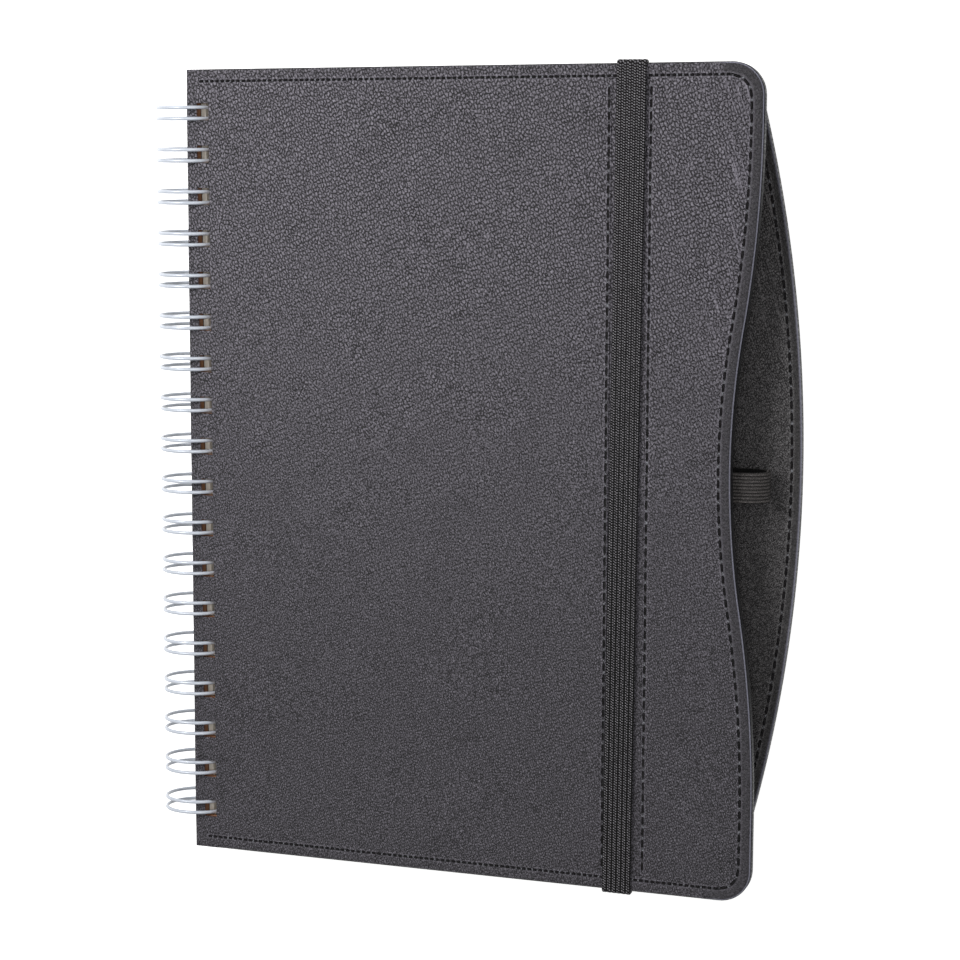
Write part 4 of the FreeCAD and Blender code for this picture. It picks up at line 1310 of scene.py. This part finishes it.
def make_board_finish():
    """Brown fibre on the cut walls, and a pale sheet on the board's two faces."""
    board = Finish("brown_fibre_board")
    place = board.place()
    fibre = board.noise(board.scaled(place, (1.0, 1.0, 4.0)), 1.4, 4.0, 0.65)
    brown = board.blend(fibre, (0.20, 0.075, 0.03), (0.46, 0.24, 0.12))
    pale = board.blend(fibre, (0.74, 0.62, 0.50), (0.94, 0.85, 0.74))
    facing = board.upward().over(0.6, 0.9)
    return board.mixed(board.blend(facing, brown, pale), 0.9, fibre, 0.15)


def make_lining_finish():
    lining = Finish("fine_black_lining", Specular_IOR_Level=0.35)
    place = lining.place()
    thread_x, thread_y, _ = (part * (2 * math.pi / 0.45) for part in lining.parts(place))
    weave = thread_x.math("SINE") * thread_y.math("SINE") * 0.5 + 0.5
    fuzz = lining.noise(place, 4.0, 3.0)
    shade = weave * 0.5 + fuzz * 0.5
    colour = lining.blend(shade, (0.018, 0.017, 0.019), (0.04, 0.038, 0.041))
    return lining.mixed(colour, 0.68 + 0.2 * fuzz, weave * 0.6 + fuzz * 0.4, 0.05)


def make_paper_finish():
    """Lines 0.2 mm apart on the edges, and rules 7 mm apart on the top and bottom sheets."""
    paper = Finish("ivory_paper", Specular_IOR_Level=0.2)
    place = paper.place()
    x, y, z = paper.parts(place)
    sheet = paper.noise(paper.scaled(place, (0.02, 0.02, 1.0)), 9.0, 3.0, 0.7)
    lines = (z * (2 * math.pi / 0.21) + sheet * 6.0).wave()
    edge = paper.upward().under(0.5, 0.9)
    rule = (y / 7.1).math("FRACT").from_half().under(0.012, 0.03)
    first, last = page_low[0] + 17, page_high[0] - 9
    written = x.over(first, first + 0.1) * x.under(last - 0.1, last)
    ruled_face = rule * written * (1.0 - edge) * y.math("ABSOLUTE").under(104, 104.2)
    grain = paper.noise(place, 1.6, 4.0, 0.6)
    plain = paper.blend(grain, (0.82, 0.77, 0.67), (0.90, 0.86, 0.78))
    # Painted shade: the darker lines between the sheets on the block's edges.
    stacked = paper.blend(edge * lines * 0.55, plain, (0.42, 0.36, 0.27))
    colour = paper.blend(ruled_face * 0.5, stacked, (0.36, 0.40, 0.46))
    return paper.mixed(colour, 0.85, lines * edge + grain * 0.15, 0.08)


def dress(node, material):
    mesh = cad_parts[node].data
    mesh.materials.clear()
    mesh.materials.append(material)


board_finish = make_board_finish()
dress("front_board", board_finish)
dress("back_board", board_finish)
dress("front_lining", make_lining_finish())
dress("page_block", make_paper_finish())

# %% [markdown]
# ## Light and floor
# A large soft lamp stands beyond the head on the spine side, so that the head of the cover catches
# more of it than the tail. A second one hangs high over the fore edge, and an even pale world
# fills the rest. The floor is pale. To the camera, and in reflections, floor and world show close
# to white, and the floor keeps the shadow that the planner throws.

# %% Light the scene
FLOOR_GLOW = 0.82
WORLD_FILL = 0.2


def make_floor():
    size, depth = 3.0, 0.00002
    ends = ((-size, -size), (size, -size), (size, size), (-size, size))
    mesh = bpy.data.meshes.new("floor")
    mesh.from_pydata([(x, y, -depth) for x, y in ends], [], [(0, 1, 2, 3)])
    floor = add_object("floor", mesh)
    paint = Finish("pale_floor", Roughness=0.9, Specular_IOR_Level=0.1)
    paint.set("Base Color", (0.8, 0.8, 0.8, 1.0))
    tree = paint.tree
    seen = paint.node("ShaderNodeLightPath", out="Is Camera Ray")
    mirrored = paint.node("ShaderNodeLightPath", out="Is Glossy Ray")
    strength = (seen + mirrored) * FLOOR_GLOW
    glow = paint.node("ShaderNodeEmission", Color=(1, 1, 1, 1), Strength=strength)
    both = tree.nodes.new("ShaderNodeAddShader")
    tree.links.new(paint.shader.outputs[0], both.inputs[0])
    tree.links.new(glow.socket, both.inputs[1])
    output = next(node for node in tree.nodes if node.type == "OUTPUT_MATERIAL")
    tree.links.new(both.outputs[0], output.inputs["Surface"])
    mesh.materials.append(paint.material)


def make_world():
    world = bpy.data.worlds.new("pale_room")
    world.use_nodes = True
    tree = world.node_tree
    background = tree.nodes["Background"]
    camera, glossy, through = (
        add_node(tree, "ShaderNodeLightPath", out=f"Is {name} Ray")
        for name in ("Camera", "Glossy", "Transmission")
    )
    white = (camera + glossy + through).math("MINIMUM", 1.0)
    strength = white * (1 - WORLD_FILL) + WORLD_FILL
    background.inputs["Color"].default_value = (1.0, 1.0, 1.0, 1.0)
    tree.links.new(strength.socket, background.inputs["Strength"])
    bpy.context.scene.world = world


def make_lamp(name, place, size, power):
    """A soft box that faces the planner."""
    data = bpy.data.lights.new(name, "AREA")
    data.shape = "RECTANGLE"
    data.size, data.size_y = size
    data.energy = power
    lamp = add_object(name, data)
    lamp.location = place
    lamp.rotation_euler = (-Vector(place)).to_track_quat("-Z", "Y").to_euler()


make_floor()
make_world()
make_lamp("soft_box", (-0.30, 0.27, 0.48), (0.26, 0.22), 2.7)
make_lamp("side_fill", (0.24, 0.07, 0.70), (0.3, 0.3), 1.35)
bpy.context.scene.view_settings.view_transform = "Standard"
